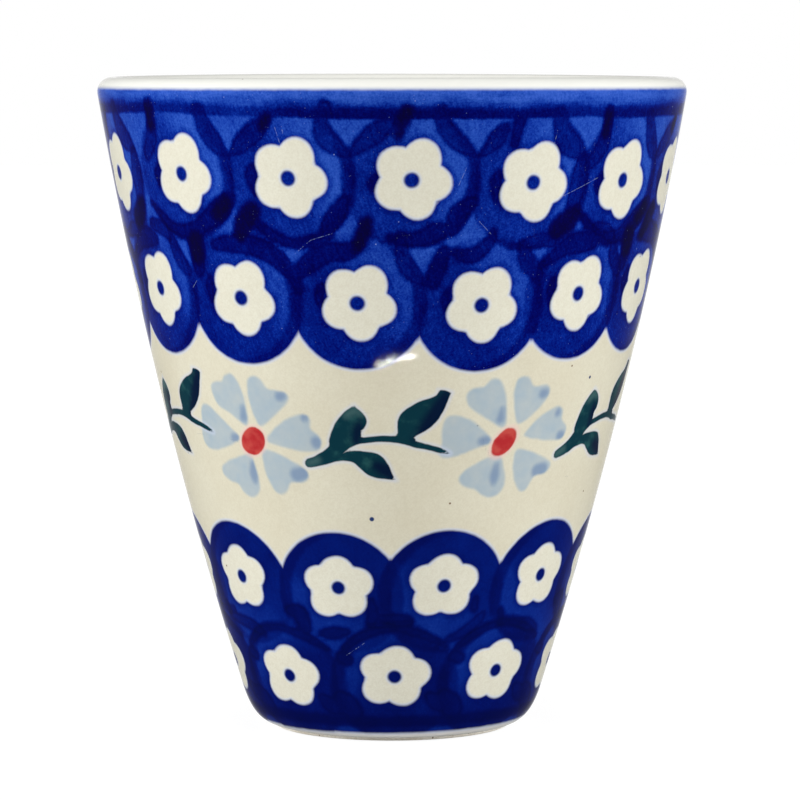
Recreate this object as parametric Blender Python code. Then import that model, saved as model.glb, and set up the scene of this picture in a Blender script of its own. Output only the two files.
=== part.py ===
"""Handleless stoneware mug: a turned clay body and the three coats of glaze on it.

Lengths are in metres and +Z is up. The origin is the middle of the foot ring's resting face.
Every piece is a section in the plane of radius and height, turned once round the Z axis.
"""

import math

import bmesh
import bpy
from mathutils import Matrix, Vector

MM = 0.001

# Finished outside of the mug
HEIGHT = 100.0 * MM
WALL_RADIUS_TOP = 45.6 * MM  # the wall's line carried up to the full height
WALL_RADIUS_BOTTOM = 21.2 * MM  # the wall's line carried down to the table
WALL_BULGE = 1.86 * MM  # how far the wall swells past a straight cone, half-way up
CORNER_HEIGHT = 6.0 * MM  # where the wall starts to turn in to the foot
CORNER_DROP = 0.6 * MM  # height at which the turned-in corner points outwards

# Finished inside of the mug
WALL_THICKNESS = 4.4 * MM
FLOOR_HEIGHT = 7.5 * MM
FLOOR_FILLET = 9.0 * MM

# Foot ring and the recess inside it
FOOT_RADIUS = 18.4 * MM  # edge of the outer glaze above the ring
FOOT_STEP = 0.5 * MM  # height of bare clay below that edge
FOOT_RING_WIDTH = 4.0 * MM
FOOT_CHAMFER = 0.4 * MM
RECESS_DEPTH = 2.4 * MM
RECESS_FILLET = 1.2 * MM

# Glaze
GLAZE = 0.4 * MM
CLEARANCE = 0.3 * MM  # between pieces that touch
SKIN = GLAZE + CLEARANCE  # from a finished surface to the clay under it

# Fineness of the turned surfaces
SEGMENTS = 60
CORNER_STEPS = 4
WALL_STEPS = 6
LIP_STEPS = 3  # on each side of the crest
FILLET_STEPS = 4
SHARP_ANGLE = math.radians(40)
MERGE_DISTANCE = 1e-7

QUARTER_TURN = math.pi / 2
FULL_TURN = 2 * math.pi


def wall_point(height):
    """Finished outer wall at a height: a cone with a gentle parabolic swelling."""
    share = height / HEIGHT
    straight = WALL_RADIUS_BOTTOM + (WALL_RADIUS_TOP - WALL_RADIUS_BOTTOM) * share
    return Vector((straight + 4 * WALL_BULGE * share * (1 - share), height))


def wall_slope(height):
    """Gain of radius per gain of height on the outer wall."""
    share = height / HEIGHT
    return (WALL_RADIUS_TOP - WALL_RADIUS_BOTTOM + 4 * WALL_BULGE * (1 - 2 * share)) / HEIGHT


def wall_inward(height):
    """Unit normal of the outer wall, pointing into the clay."""
    return Vector((-1.0, wall_slope(height))).normalized()


def evenly(start, end, steps):
    """Numbers from start to end, both included."""
    return [start + (end - start) * step / steps for step in range(steps + 1)]


def curve_through(start, control, end, steps):
    """Rounded corner: leaves start towards control and reaches end coming from control."""
    points = []
    for share in evenly(0.0, 1.0, steps):
        points.append(start * (1 - share) ** 2 + control * 2 * share * (1 - share) + end * share ** 2)
    return points


def arc(centre, radius, start, end, steps):
    """Points on a circle between two angles."""
    return [centre + radius * Vector((math.cos(turn), math.sin(turn))) for turn in evenly(start, end, steps)]


def lip_foot():
    """Height on the outer wall where the half-round lip begins."""
    radius = WALL_THICKNESS / 2
    centre_height = HEIGHT - radius
    return centre_height - radius * wall_inward(centre_height).y


def outside_line():
    """Finished line of the outer glaze: from its lower edge up the wall and over the lip."""
    corner_top = wall_point(CORNER_HEIGHT)
    to_drop = CORNER_DROP - CORNER_HEIGHT
    control = corner_top + Vector((wall_slope(CORNER_HEIGHT) * to_drop, to_drop))
    line = curve_through(Vector((FOOT_RADIUS, FOOT_STEP)), control, corner_top, CORNER_STEPS)
    top = lip_foot()
    line += [wall_point(height) for height in evenly(CORNER_HEIGHT, top, WALL_STEPS)[1:]]
    radius = WALL_THICKNESS / 2
    centre = wall_point(top) + radius * wall_inward(top)
    lean = -math.atan(wall_slope(top))
    line += arc(centre, radius, lean, QUARTER_TURN, LIP_STEPS)[1:]
    line += arc(centre, radius, QUARTER_TURN, lean + math.pi, LIP_STEPS)[1:]
    return line


def inside_line():
    """Finished line of the inner glaze: from just below the lip down to the middle of the floor."""
    start = lip_foot() - CLEARANCE
    fillet_top = FLOOR_HEIGHT + FLOOR_FILLET
    end = fillet_top - WALL_THICKNESS * wall_inward(fillet_top).y
    line = []
    for height in evenly(start, end, WALL_STEPS):
        line.append(wall_point(height) + WALL_THICKNESS * wall_inward(height))
    turn_in = line[-1]
    drop = turn_in.y - FLOOR_HEIGHT
    control = Vector((turn_in.x - wall_slope(end) * drop, FLOOR_HEIGHT))
    flat_edge = control - Vector((FLOOR_FILLET, 0.0))
    line += curve_through(turn_in, control, flat_edge, FILLET_STEPS)[1:]
    line.append(Vector((0.0, FLOOR_HEIGHT)))
    return line


def ring_outer_radius():
    """Outside of the bare foot ring, clear of the glaze's lower edge."""
    return FOOT_RADIUS - CLEARANCE


def ring_inner_radius():
    """Inside of the foot ring."""
    return ring_outer_radius() - FOOT_RING_WIDTH


def recess_line():
    """Clay line of the recess: from the middle of its ceiling out to the foot of its fillet."""
    inner = ring_inner_radius()
    centre = Vector((inner - RECESS_FILLET, RECESS_DEPTH - RECESS_FILLET))
    return [Vector((0.0, RECESS_DEPTH))] + arc(centre, RECESS_FILLET, QUARTER_TURN, 0.0, FILLET_STEPS)


def offset_line(line, distance):
    """The line moved by a distance to the left of its direction of travel."""
    moved = []
    for index, point in enumerate(line):
        before = line[max(index - 1, 0)]
        after = line[min(index + 1, len(line) - 1)]
        incoming = (point - before).normalized()
        outgoing = (after - point).normalized()
        travel = (incoming + outgoing).normalized()
        turn = travel.dot(outgoing if index == 0 else incoming)
        moved.append(point + Vector((-travel.y, travel.x)) * distance / turn)
    return moved


def body_section():
    """Clay: under both glazes from the floor's middle to the foot, then the ring and the recess."""
    glazed = offset_line(outside_line() + inside_line(), SKIN)
    outer = ring_outer_radius()
    inner = ring_inner_radius()
    ring = [
        Vector((inner, FOOT_CHAMFER)),
        Vector((inner + FOOT_CHAMFER, 0.0)),
        Vector((outer - FOOT_CHAMFER, 0.0)),
        Vector((outer, FOOT_CHAMFER)),
        Vector((outer, glazed[0].y)),
    ]
    return recess_line() + ring + glazed


def outer_glaze_section():
    """Coat on the outside and over the lip, closed into a loop."""
    shared = outside_line()
    within = offset_line(shared + inside_line(), GLAZE)[: len(shared)]
    return shared + within[::-1] + shared[:1]


def inner_glaze_section():
    """Coat on the inside, with both ends on the axis."""
    shared = outside_line()
    lining = inside_line()
    within = offset_line(shared + lining, GLAZE)[len(shared):]
    return within[::-1] + lining


def base_glaze_section():
    """Coat on the recess, with both ends on the axis."""
    clay = recess_line()
    upper = offset_line(clay, -CLEARANCE)
    lower = offset_line(clay, -SKIN)
    return lower + upper[::-1]


def glossy_material(name, colour, roughness, coat):
    """Principled material for fired clay or glaze."""
    material = bpy.data.materials.new(name)
    material.use_nodes = True
    shader = material.node_tree.nodes["Principled BSDF"]
    shader.inputs["Base Color"].default_value = (*colour, 1.0)
    shader.inputs["Roughness"].default_value = roughness
    shader.inputs["Metallic"].default_value = 0.0
    shader.inputs["Coat Weight"].default_value = coat
    return material


def turned_piece(name, section, material, parent):
    """Turn a section round the Z axis into one closed, smooth-shaded object."""
    shape = bmesh.new()
    corners = [shape.verts.new((point.x, 0.0, point.y)) for point in section]
    for first, second in zip(corners, corners[1:]):
        shape.edges.new((first, second))
    bmesh.ops.spin(
        shape,
        geom=shape.verts[:] + shape.edges[:],
        cent=(0.0, 0.0, 0.0),
        axis=(0.0, 0.0, 1.0),
        angle=FULL_TURN,
        steps=SEGMENTS,
        use_merge=True,
    )
    bmesh.ops.remove_doubles(shape, verts=shape.verts[:], dist=MERGE_DISTANCE)
    bmesh.ops.recalc_face_normals(shape, faces=shape.faces[:])
    mesh = bpy.data.meshes.new(name)
    shape.to_mesh(mesh)
    shape.free()
    mesh.materials.append(material)
    mesh.shade_smooth()
    mesh.set_sharp_from_angle(angle=SHARP_ANGLE)
    piece = bpy.data.objects.new(name, mesh)
    piece.parent = parent
    piece.matrix_parent_inverse = Matrix.Identity(4)
    bpy.context.scene.collection.objects.link(piece)
    return piece


def clear_scene():
    """Remove every object that is already in the scene."""
    for item in list(bpy.data.objects):
        bpy.data.objects.remove(item)


def build_mug():
    """Clay body and glaze coats, carried by one empty on the table."""
    mug = bpy.data.objects.new("mug", None)
    bpy.context.scene.collection.objects.link(mug)
    clay = glossy_material("bare_stoneware", (0.62, 0.56, 0.45), 0.75, 0.0)
    painted = glossy_material("painted_glaze", (0.02, 0.07, 0.40), 0.14, 0.6)
    liner = glossy_material("liner_glaze", (0.80, 0.76, 0.62), 0.14, 0.6)
    base = glossy_material("recess_glaze", (0.74, 0.70, 0.56), 0.18, 0.6)
    turned_piece("stoneware_body", body_section(), clay, mug)
    turned_piece("outer_glaze", outer_glaze_section(), painted, mug)
    turned_piece("inner_glaze", inner_glaze_section(), liner, mug)
    turned_piece("base_glaze", base_glaze_section(), base, mug)


clear_scene()
build_mug()
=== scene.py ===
"""Looks of the handleless stoneware mug, with its camera, light and floor.

Lengths are in millimetres until a mesh is made. Angles round the mug are in degrees: 0 faces the
camera (-Y) and they grow towards +X. The painting is worked out as signed distances, in millimetres,
from every painted edge, negative inside. They are kept on the points of a fine turned mesh, and the
material turns them into coats of colour with soft, slightly wavering edges.
"""

import math
from functools import cached_property

import bmesh
import bpy
import numpy as np
from mathutils import Matrix, Vector


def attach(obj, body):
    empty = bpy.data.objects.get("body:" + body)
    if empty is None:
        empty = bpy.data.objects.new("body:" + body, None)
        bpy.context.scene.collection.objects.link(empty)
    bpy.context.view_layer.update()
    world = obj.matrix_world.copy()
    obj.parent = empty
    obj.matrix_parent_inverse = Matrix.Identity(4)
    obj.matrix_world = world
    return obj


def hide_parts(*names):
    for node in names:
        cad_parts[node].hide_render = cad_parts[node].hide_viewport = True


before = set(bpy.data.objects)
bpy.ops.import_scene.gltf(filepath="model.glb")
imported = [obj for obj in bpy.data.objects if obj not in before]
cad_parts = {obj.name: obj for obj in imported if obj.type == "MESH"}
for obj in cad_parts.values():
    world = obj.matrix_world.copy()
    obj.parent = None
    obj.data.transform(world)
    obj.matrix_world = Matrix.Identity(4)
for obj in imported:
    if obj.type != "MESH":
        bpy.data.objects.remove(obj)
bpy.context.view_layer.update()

MM = 0.001
FAR = 30.0  # stands for a painted edge that is nowhere near

# Finished surfaces, as in the solids
HEIGHT = 100.0
WALL_RADIUS_TOP = 45.6
WALL_RADIUS_BOTTOM = 21.2
WALL_BULGE = 1.86
CORNER_HEIGHT = 6.0
CORNER_DROP = 0.6
WALL_THICKNESS = 4.4
FLOOR_HEIGHT = 7.5
FLOOR_FILLET = 9.0
FOOT_RADIUS = 18.4
FOOT_STEP = 0.5
FOOT_RING_WIDTH = 4.0
FOOT_CHAMFER = 0.4
RECESS_DEPTH = 2.4
RECESS_FILLET = 1.2
GLAZE_DEPTH = 0.68  # the coats reach down to the clay
SEAM = 0.02  # between neighbouring pieces
RING_GAP = 0.3  # between the edge of the outer glaze and the foot ring of the solids

# Fineness of the turned meshes
PAINTED_SEGMENTS = 416
PLAIN_SEGMENTS = 256
CORNER_RINGS = 12
WALL_RINGS = 140
LIP_RINGS = 16
BAND_STARTS = (35.0, 58.0)  # heights between which the garland's thin stems need closer rings
BAND_RINGS = (50, 66, 68)  # rings below, in and above that band
HIDDEN_STRIDE = 10  # the side of a coat that lies on the clay keeps every tenth ring
FILLET_RINGS = 16
CHAMFER_RINGS = 6
RECESS_RINGS = 8
CEILING_RINGS = 12
SHARP_ANGLE = 50.0
MERGE_DISTANCE = 1e-7
NO_LENGTH = 1e-8
FIRST_ANGLE = -90.0  # the bake map is cut at the mug's left and right, seen from the front

# Handmade unevenness
OVAL = 0.07
LOBED = 0.04
RIM_SWAY = 0.10
THROWING_RING = 0.05
THROWING_PITCH = 5.5
THROWN_FROM = 8.0  # radius on the floor from which the throwing rings grow
THROWN_BELOW = 94.0  # height towards which they fade
THROWN_FADE = 10.0
OVAL_TURN = 0.6
LOBED_TURN = 2.1
RIM_TURN = 1.3
RIM_POWER = 6  # keeps the rim's sway out of the lower wall


def wall_radius(height):
    """Outer wall: a cone with a gentle parabolic swelling."""
    share = height / HEIGHT
    straight = WALL_RADIUS_BOTTOM + (WALL_RADIUS_TOP - WALL_RADIUS_BOTTOM) * share
    return straight + 4 * WALL_BULGE * share * (1 - share)


def wall_slope(height):
    """Gain of radius per gain of height on the outer wall."""
    share = height / HEIGHT
    return (WALL_RADIUS_TOP - WALL_RADIUS_BOTTOM + 4 * WALL_BULGE * (1 - 2 * share)) / HEIGHT


def wall_point(height):
    """Points of the outer wall as rows of radius and height."""
    height = np.asarray(height, dtype=float)
    return np.stack([wall_radius(height), height], axis=-1)


def wall_inward(height):
    """Unit normals of the outer wall, pointing into the clay."""
    height = np.asarray(height, dtype=float)
    slope = wall_slope(height)
    return np.stack([-np.ones_like(slope), slope], axis=-1) / np.hypot(1.0, slope)[..., None]


def rounded_corner(start, control, end, count):
    """Quadratic curve that leaves start towards control and reaches end coming from it."""
    share = np.linspace(0.0, 1.0, count)[:, None]
    start, control, end = np.array(start), np.array(control), np.array(end)
    return start * (1 - share) ** 2 + control * 2 * share * (1 - share) + end * share ** 2


def arc(centre, radius, start, end, count):
    """Points on a circle between two angles in radians."""
    turn = np.linspace(start, end, count)
    return np.array(centre) + radius * np.stack([np.cos(turn), np.sin(turn)], axis=-1)


def lip_foot():
    """Height on the outer wall where the half-round lip begins."""
    radius = WALL_THICKNESS / 2
    middle = HEIGHT - radius
    return middle - radius * wall_inward(middle)[1]


def outside_line():
    """Finished line of the outer glaze: from its lower edge up the wall and over the lip."""
    top = lip_foot()
    corner_top = wall_point(CORNER_HEIGHT)
    drop = CORNER_DROP - CORNER_HEIGHT
    control = corner_top + np.array([wall_slope(CORNER_HEIGHT) * drop, drop])
    corner = rounded_corner((FOOT_RADIUS, FOOT_STEP), control, corner_top, CORNER_RINGS)
    levels = (CORNER_HEIGHT, *BAND_STARTS, top)
    bands = [np.linspace(low, high, rings, endpoint=False)
             for low, high, rings in zip(levels, levels[1:], BAND_RINGS)]
    wall = wall_point(np.concatenate([*bands, [top]]))
    radius = WALL_THICKNESS / 2
    centre = wall_point(top) + radius * wall_inward(top)
    lean = -math.atan(wall_slope(top))
    lip = arc(centre, radius, lean, lean + math.pi, LIP_RINGS)
    return np.concatenate([corner, wall[1:], lip[1:]])


def inside_line():
    """Finished line of the liner: from the end of the lip down to the middle of the floor."""
    fillet_top = FLOOR_HEIGHT + FLOOR_FILLET
    end = fillet_top - WALL_THICKNESS * wall_inward(fillet_top)[1]
    heights = np.linspace(lip_foot(), end, WALL_RINGS)
    wall = wall_point(heights) + WALL_THICKNESS * wall_inward(heights)
    drop = wall[-1][1] - FLOOR_HEIGHT
    control = np.array([wall[-1][0] - wall_slope(end) * drop, FLOOR_HEIGHT])
    flat_edge = control - np.array([FLOOR_FILLET, 0.0])
    fillet = rounded_corner(wall[-1], control, flat_edge, FILLET_RINGS)
    floor = np.linspace(flat_edge, (0.0, FLOOR_HEIGHT), FILLET_RINGS)
    return np.concatenate([wall, fillet[1:], floor[1:]])


def offset_line(line, distance):
    """The line moved by a distance to the left of its direction of travel."""
    travel = np.gradient(line, axis=0)
    travel /= np.linalg.norm(travel, axis=1)[:, None]
    return line + distance * np.stack([-travel[:, 1], travel[:, 0]], axis=-1)


def thinned(line, stride):
    """Every so many points of a line, with its last one."""
    kept = line[::stride]
    return kept if (len(line) - 1) % stride == 0 else np.concatenate([kept, line[-1:]])


def sway(angle, height):
    """Unevenness of a hand-thrown wall: shifts of radius and height."""
    turn = np.radians(angle)
    share = np.clip(height / HEIGHT, 0.0, 1.0)
    out = OVAL * share * np.sin(2 * turn + OVAL_TURN) + LOBED * share * np.sin(3 * turn + LOBED_TURN)
    up = RIM_SWAY * share ** RIM_POWER * np.sin(2 * turn + RIM_TURN)
    return out, up


def turned_grid(section, segments):
    """Angle, radius and height of every point of a section turned round the axis, ring by ring."""
    angles = FIRST_ANGLE + 360.0 * np.arange(segments) / segments
    radius = np.repeat(section[:, 0], segments)
    height = np.repeat(section[:, 1], segments)
    return np.tile(angles, len(section)), radius, height


def turned_piece(name, section, segments, loop):
    """Turn a section once round the Z axis into a closed, smooth-shaded object."""
    angle, radius, height = turned_grid(section, segments)
    out, up = sway(angle, height)
    radius = np.where(radius > 0.0, radius + out * np.minimum(radius / WALL_RADIUS_BOTTOM, 1.0), 0.0)
    turn = np.radians(angle)
    points = np.stack([radius * np.sin(turn), -radius * np.cos(turn), height + up], axis=-1) * MM
    rings = len(section)
    ring = np.arange(rings if loop else rings - 1)[:, None]
    step = np.arange(segments)[None, :]
    above = (ring + 1) % rings
    beside = (step + 1) % segments
    corners = [ring * segments + step, ring * segments + beside,
               above * segments + beside, above * segments + step]
    faces = np.stack([corner.ravel() for corner in corners], axis=-1)
    mesh = bpy.data.meshes.new(name)
    mesh.from_pydata(points.tolist(), [], faces.tolist())
    if not loop:
        close_poles(mesh)
    mesh.shade_smooth()
    mesh.set_sharp_from_angle(angle=math.radians(SHARP_ANGLE))
    piece = bpy.data.objects.new(name, mesh)
    bpy.context.scene.collection.objects.link(piece)
    return piece


def close_poles(mesh):
    """Merge the points that lie together on the axis."""
    shape = bmesh.new()
    shape.from_mesh(mesh)
    bmesh.ops.remove_doubles(shape, verts=shape.verts[:], dist=MERGE_DISTANCE)
    bmesh.ops.dissolve_degenerate(shape, edges=shape.edges[:], dist=NO_LENGTH)
    shape.to_mesh(mesh)
    shape.free()


# Painting: places of the stamps, angle and height of each blossom's dot, left to right
ROW_1 = [(-73.1, 85.7), (-45.8, 86.0), (-20.4, 85.6), (3.8, 85.4), (28.5, 84.9), (52.6, 84.9), (77.0, 85.0)]
ROW_2 = [(-61.2, 68.6), (-34.1, 67.9), (-7.3, 67.5), (19.4, 67.1), (44.0, 68.3), (69.0, 68.6)]
ROW_3 = [(-52.0, 25.0), (-16.2, 24.5), (15.7, 24.8), (51.0, 25.3)]
ROW_4 = [(-39.3, 10.1), (0.9, 10.7), (39.4, 10.9)]
FLOWERS = [(-36.7, 46.4), (28.7, 46.5)]
SPRIGS = [(-68.6, 48.6), (-4.0, 46.4), (63.2, 47.9)]
SPRIG_TILTS = [0.0, 0.0, 5.5]
HIDDEN_ROW_1 = 7
HIDDEN_ROW_2 = 8
HIDDEN_ROW_3 = 7
HIDDEN_ROW_4 = 6
HIDDEN_FLOWERS = 3
HIDDEN_SPRIGS = 2

# Brush strokes round the stamps, each a path of (across, up, half width) in millimetres from the
# blossom's dot. A coat is one layer of blue, a deep stroke is darker, and dark ones are dabs with some
# brown in them
ROW_1_STROKES = [
    {"coat": [
        [(-8.7, 4.0, 0.3), (-6.6, 6.4, 1.2), (-5.5, 8.0, 0.8)],
        [(3.4, 10.1, 1.0), (4.7, 6.8, 1.7), (6.5, 5.2, 1.6), (8.6, 3.9, 0.4)],
        [(8.4, 3.3, 0.8), (8.2, 0.2, 1.5), (7.8, -2.3, 1.3), (6.8, -4.3, 0.5)],
        [(-5.0, -8.5, 0.2), (-1.8, -9.4, 0.4), (1.6, -8.6, 1.0), (4.2, -8.6, 1.1)]],
     "deep": [
        [(-3.7, 5.8, 0.6), (-3.4, 7.6, 0.7), (-3.0, 9.2, 0.8)],
        [(-5.6, 1.8, 0.3), (-6.0, 0.2, 0.7), (-5.7, -1.8, 0.6), (-4.8, -3.6, 0.2)]],
     "dark": [
        [(5.2, -6.9, 1.4), (6.8, -5.9, 1.6), (8.2, -4.4, 0.8)]]},
    {"coat": [
        [(-5.7, 10.4, 0.9), (-5.6, 7.6, 0.9), (-6.2, 5.1, 1.3), (-7.8, 2.9, 1.0)],
        [(5.2, 9.8, 0.8), (6.1, 7.1, 1.4), (7.7, 4.6, 1.3), (9.5, 3.0, 0.2)]],
     "deep": [
        [(-9.0, -4.5, 0.2), (-6.4, -6.4, 0.6), (-3.6, -8.3, 0.8), (0.6, -8.5, 1.0), (3.9, -7.0, 1.3),
         (6.8, -5.2, 1.6), (9.0, -3.4, 0.8)],
        [(-5.2, 1.1, 0.3), (-5.9, -0.2, 0.6), (-5.7, -1.9, 0.2)]],
     "dark": [
        [(-5.8, 9.8, 0.7), (-5.8, 7.0, 0.6)],
        [(6.2, -5.8, 0.9), (8.0, -4.2, 0.9)]]},
    {"coat": [
        [(-8.8, 3.6, 0.4), (-7.4, 4.8, 1.1), (-5.6, 6.2, 1.4), (-3.8, 7.5, 1.1), (-2.6, 8.6, 0.5)],
        [(6.3, 10.6, 0.8), (5.5, 8.0, 0.9), (6.1, 6.0, 1.4), (7.6, 4.6, 1.1), (9.2, 3.3, 0.2)]],
     "deep": [
        [(8.4, -3.0, 0.6), (7.0, -5.2, 1.3), (5.6, -7.2, 1.1)],
        [(-5.1, -7.0, 0.6), (-2.9, -8.5, 0.7), (0.0, -9.6, 0.7), (3.5, -9.2, 0.8), (5.6, -8.4, 0.6)],
        [(-5.7, 1.6, 0.4), (-5.9, 0.4, 0.8), (-5.6, -1.4, 0.5), (-5.2, -2.6, 0.2)]],
     "dark": [
        [(-3.6, 7.6, 0.5), (-2.7, 8.8, 0.6)],
        [(-6.2, -4.9, 1.2), (-7.6, -6.5, 1.4), (-8.5, -8.3, 0.9)]]},
    {"coat": [
        [(-8.6, 3.9, 0.3), (-7.2, 5.2, 1.0), (-5.6, 6.6, 1.4), (-4.0, 7.8, 1.1), (-3.0, 8.8, 0.6)],
        [(4.1, 10.1, 0.9), (4.8, 7.4, 1.1), (7.0, 5.3, 1.1), (9.3, 3.5, 0.2)]],
     "deep": [
        [(9.1, -3.1, 0.6), (7.0, -4.9, 1.3), (5.9, -7.2, 1.0)],
        [(-3.0, -8.6, 0.5), (-0.6, -8.9, 0.8), (2.0, -8.4, 1.2), (3.8, -7.6, 1.3), (5.4, -7.4, 0.5)],
        [(-5.1, 0.8, 0.2), (-5.7, -0.3, 0.5), (-5.6, -1.5, 0.2)]],
     "dark": [
        [(-2.0, 6.4, 0.3), (-1.5, 8.2, 0.7), (-0.8, 10.2, 0.7)],
        [(-6.6, -6.0, 0.5), (-7.0, -7.9, 0.8), (-7.8, -10.1, 0.5)]]},
]
ROW_2_STROKES = [
    {"coat": [
        [(1.6, 10.0, 0.8), (4.0, 9.4, 1.1), (5.6, 8.6, 0.9)],
        [(6.5, 7.6, 0.7), (7.1, 5.4, 1.1), (8.7, 3.2, 0.9)]],
     "deep": [
        [(-8.2, 4.4, 0.5), (-6.2, 5.8, 0.8), (-4.0, 7.2, 1.2), (-1.4, 7.8, 1.6), (1.4, 7.6, 1.0)],
        [(-5.4, 2.4, 0.3), (-5.6, 0.6, 0.6), (-5.2, -1.6, 0.3)]],
     "dark": []},
    {"coat": [],
     "deep": [
        [(-7.8, 9.4, 1.8), (-7.4, 6.7, 1.5), (-7.6, 3.8, 0.9)],
        [(-3.7, 8.0, 0.7), (0.0, 8.2, 1.3), (3.1, 8.0, 1.5), (6.3, 6.7, 1.4), (9.0, 4.0, 1.0),
         (9.8, 1.5, 0.6)],
        [(-5.5, 3.0, 0.4), (-5.8, 1.2, 0.7), (-5.4, -0.6, 0.3)]],
     "dark": [[(-7.6, 8.6, 1.2), (-7.4, 6.0, 1.0)]]},
    {"coat": [
        [(6.6, 10.0, 0.8), (6.8, 7.0, 1.0), (7.8, 4.9, 1.2), (9.6, 2.9, 0.3)]],
     "deep": [
        [(-8.9, 4.0, 0.6), (-6.9, 6.0, 1.4), (-4.1, 7.6, 1.4), (-1.4, 7.7, 1.2), (0.6, 8.8, 0.6)],
        [(-5.3, 2.6, 0.4), (-5.6, 1.0, 0.6), (-5.3, -0.4, 0.3)]],
     "dark": [[(0.5, 8.4, 0.4), (1.2, 10.2, 0.7), (1.7, 12.2, 0.6)]]},
    {"coat": [
        [(5.8, 8.8, 0.6), (6.6, 6.8, 1.2), (8.2, 5.0, 1.2), (9.4, 3.2, 0.4)]],
     "deep": [
        [(-6.4, 8.2, 0.7), (-7.0, 5.8, 1.2), (-7.6, 3.4, 0.9)],
        [(-4.8, 8.0, 0.5), (-3.0, 7.4, 1.0), (-1.0, 8.0, 1.0), (0.6, 9.8, 0.7), (1.0, 11.2, 0.3)],
        [(-5.2, 2.4, 0.3), (-5.6, 1.0, 0.6), (-5.3, -0.4, 0.3)]],
     "dark": []},
]
ROW_3_STROKES = [
    {"coat": [
        [(-6.5, -7.0, 0.6), (-3.1, -7.4, 0.8), (-0.1, -8.0, 0.9), (2.1, -9.0, 0.5)]],
     "deep": [
        [(-7.1, -5.0, 0.4), (-6.5, -6.4, 0.5)]],
     "dark": []},
    {"coat": [
        [(4.0, -5.9, 0.3), (7.2, -5.8, 0.4), (10.4, -5.6, 0.5)]],
     "deep": [
        [(-8.6, -4.1, 0.7), (-6.7, -4.5, 1.2), (-6.0, -6.9, 1.0)],
        [(-3.4, -7.5, 0.3), (-1.4, -7.4, 0.9), (0.8, -7.1, 0.4)],
        [(4.9, -2.0, 0.4), (4.9, -4.0, 0.8), (4.6, -5.3, 0.7)]],
     "dark": []},
    {"coat": [
        [(1.2, -8.8, 0.4), (3.6, -7.7, 0.7), (5.9, -6.0, 0.8), (6.8, -4.6, 0.3)]],
     "deep": [
        [(-9.2, -5.0, 0.4), (-7.0, -5.4, 0.9), (-5.2, -5.6, 0.9)],
        [(5.2, -2.2, 0.4), (5.1, -3.8, 0.6)]],
     "dark": []},
]
ROW_4_STROKES = [
    {"coat": [],
     "deep": [
        [(-7.6, 4.6, 0.4), (-5.4, 6.4, 0.6), (-2.8, 7.5, 0.5), (0.2, 7.9, 0.4), (3.2, 7.2, 0.6),
         (5.8, 6.1, 0.5), (7.8, 4.9, 0.3)],
        [(-8.0, 3.0, 0.9), (-7.1, 2.6, 0.8)],
        [(-8.4, -3.4, 0.9), (-6.9, -5.0, 1.6), (-5.8, -6.4, 1.1)],
        [(5.2, -3.2, 0.6), (6.6, -4.4, 1.3), (8.0, -5.0, 0.8)]],
     "dark": []},
]
BRUSH_SPREAD = 0.25  # how far the wet paint ran past the traced strokes

# Drops of paint that fell beside the pattern: angle, height and radius
DROPS = [(-5.4, 35.2, 0.34), (53.9, 55.4, 0.24), (-150.0, 57.0, 0.3)]

# Fine scratches in the glaze: angle and height of both ends
SCRATCHES = [
    ((-20.3, 74.5), (-16.7, 76.6)),
    ((-16.7, 76.6), (-11.9, 77.7)),
    ((-22.4, 93.2), (-21.5, 90.5)),
    ((-20.6, 93.2), (-20.9, 91.7)),
    ((-48.0, 69.0), (-46.2, 70.2)),
    ((35.5, 82.7), (44.8, 85.5)),
    ((12.9, 84.5), (14.4, 87.3)),
    ((17.4, 79.5), (20.5, 77.3)),
    ((31.6, 87.3), (32.8, 92.3)),
    ((-15.5, 13.9), (-8.8, 16.1)),
    ((110.0, 80.0), (116.0, 83.0)),
    ((168.0, 72.0), (172.0, 68.0)),
    ((-130.0, 88.0), (-126.0, 84.0)),
]

# The two blossom stamps: angle and radius from the dot, of notches and lobe tips in turn
UPPER_BLOSSOM = [(27, 4.65), (68, 6.38), (101, 4.8), (137, 5.93), (175, 4.5), (212, 5.7), (249, 4.6),
                 (285, 5.97), (319, 4.75), (352, 5.98)]
LOWER_BLOSSOM = [(-16, 4.25), (19, 5.56), (53, 4.27), (86, 5.1), (127, 4.36), (158, 5.55), (190, 4.27),
                 (226, 5.5), (266, 4.02), (309, 5.1)]
UPPER_DOT = 1.06
LOWER_DOT = 0.98

# The discs round the blossoms, and the dark crescent where each was pressed twice
UPPER_DISC = {"middle": (0.0, 0.1), "radius": 10.15, "second": (-2.1, 0.7)}
LOWER_DISC = {"middle": (0.0, -0.9), "radius": 9.8, "second": (2.2, -1.2)}
SECOND_PRINT_GROWTH = 0.15

# How each row was stamped: blossom turned and shrunk a little, disc darkest and palest depth of
# paint, and the angle from the dot towards which it is palest
ROW_1_PRINT = {"twist": 0.0, "size": 1.0, "dark": 0.40, "pale": 0.17, "pale_towards": 26.0}
ROW_2_PRINT = {"twist": -7.5, "size": 0.965, "dark": 0.47, "pale": 0.27, "pale_towards": 38.0}
ROW_3_PRINT = {"twist": 0.0, "size": 1.0, "dark": 0.50, "pale": 0.33, "pale_towards": -125.0}
ROW_4_PRINT = {"twist": -7.0, "size": 1.0, "dark": 0.55, "pale": 0.34, "pale_towards": 140.0}
PALE_FROM = -0.25  # shares of the disc's radius between which the depth changes
PALE_TO = 0.65

# Blue fields: between these heights all is blue, and the discs stand out past one side
UPPER_FIELD = (68.0, 98.32)
LOWER_FIELD = (1.6, 25.0)
FOOT_EDGE_TILT = 0.3  # the lower edge stands this much higher on the right and lower on the left

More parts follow.
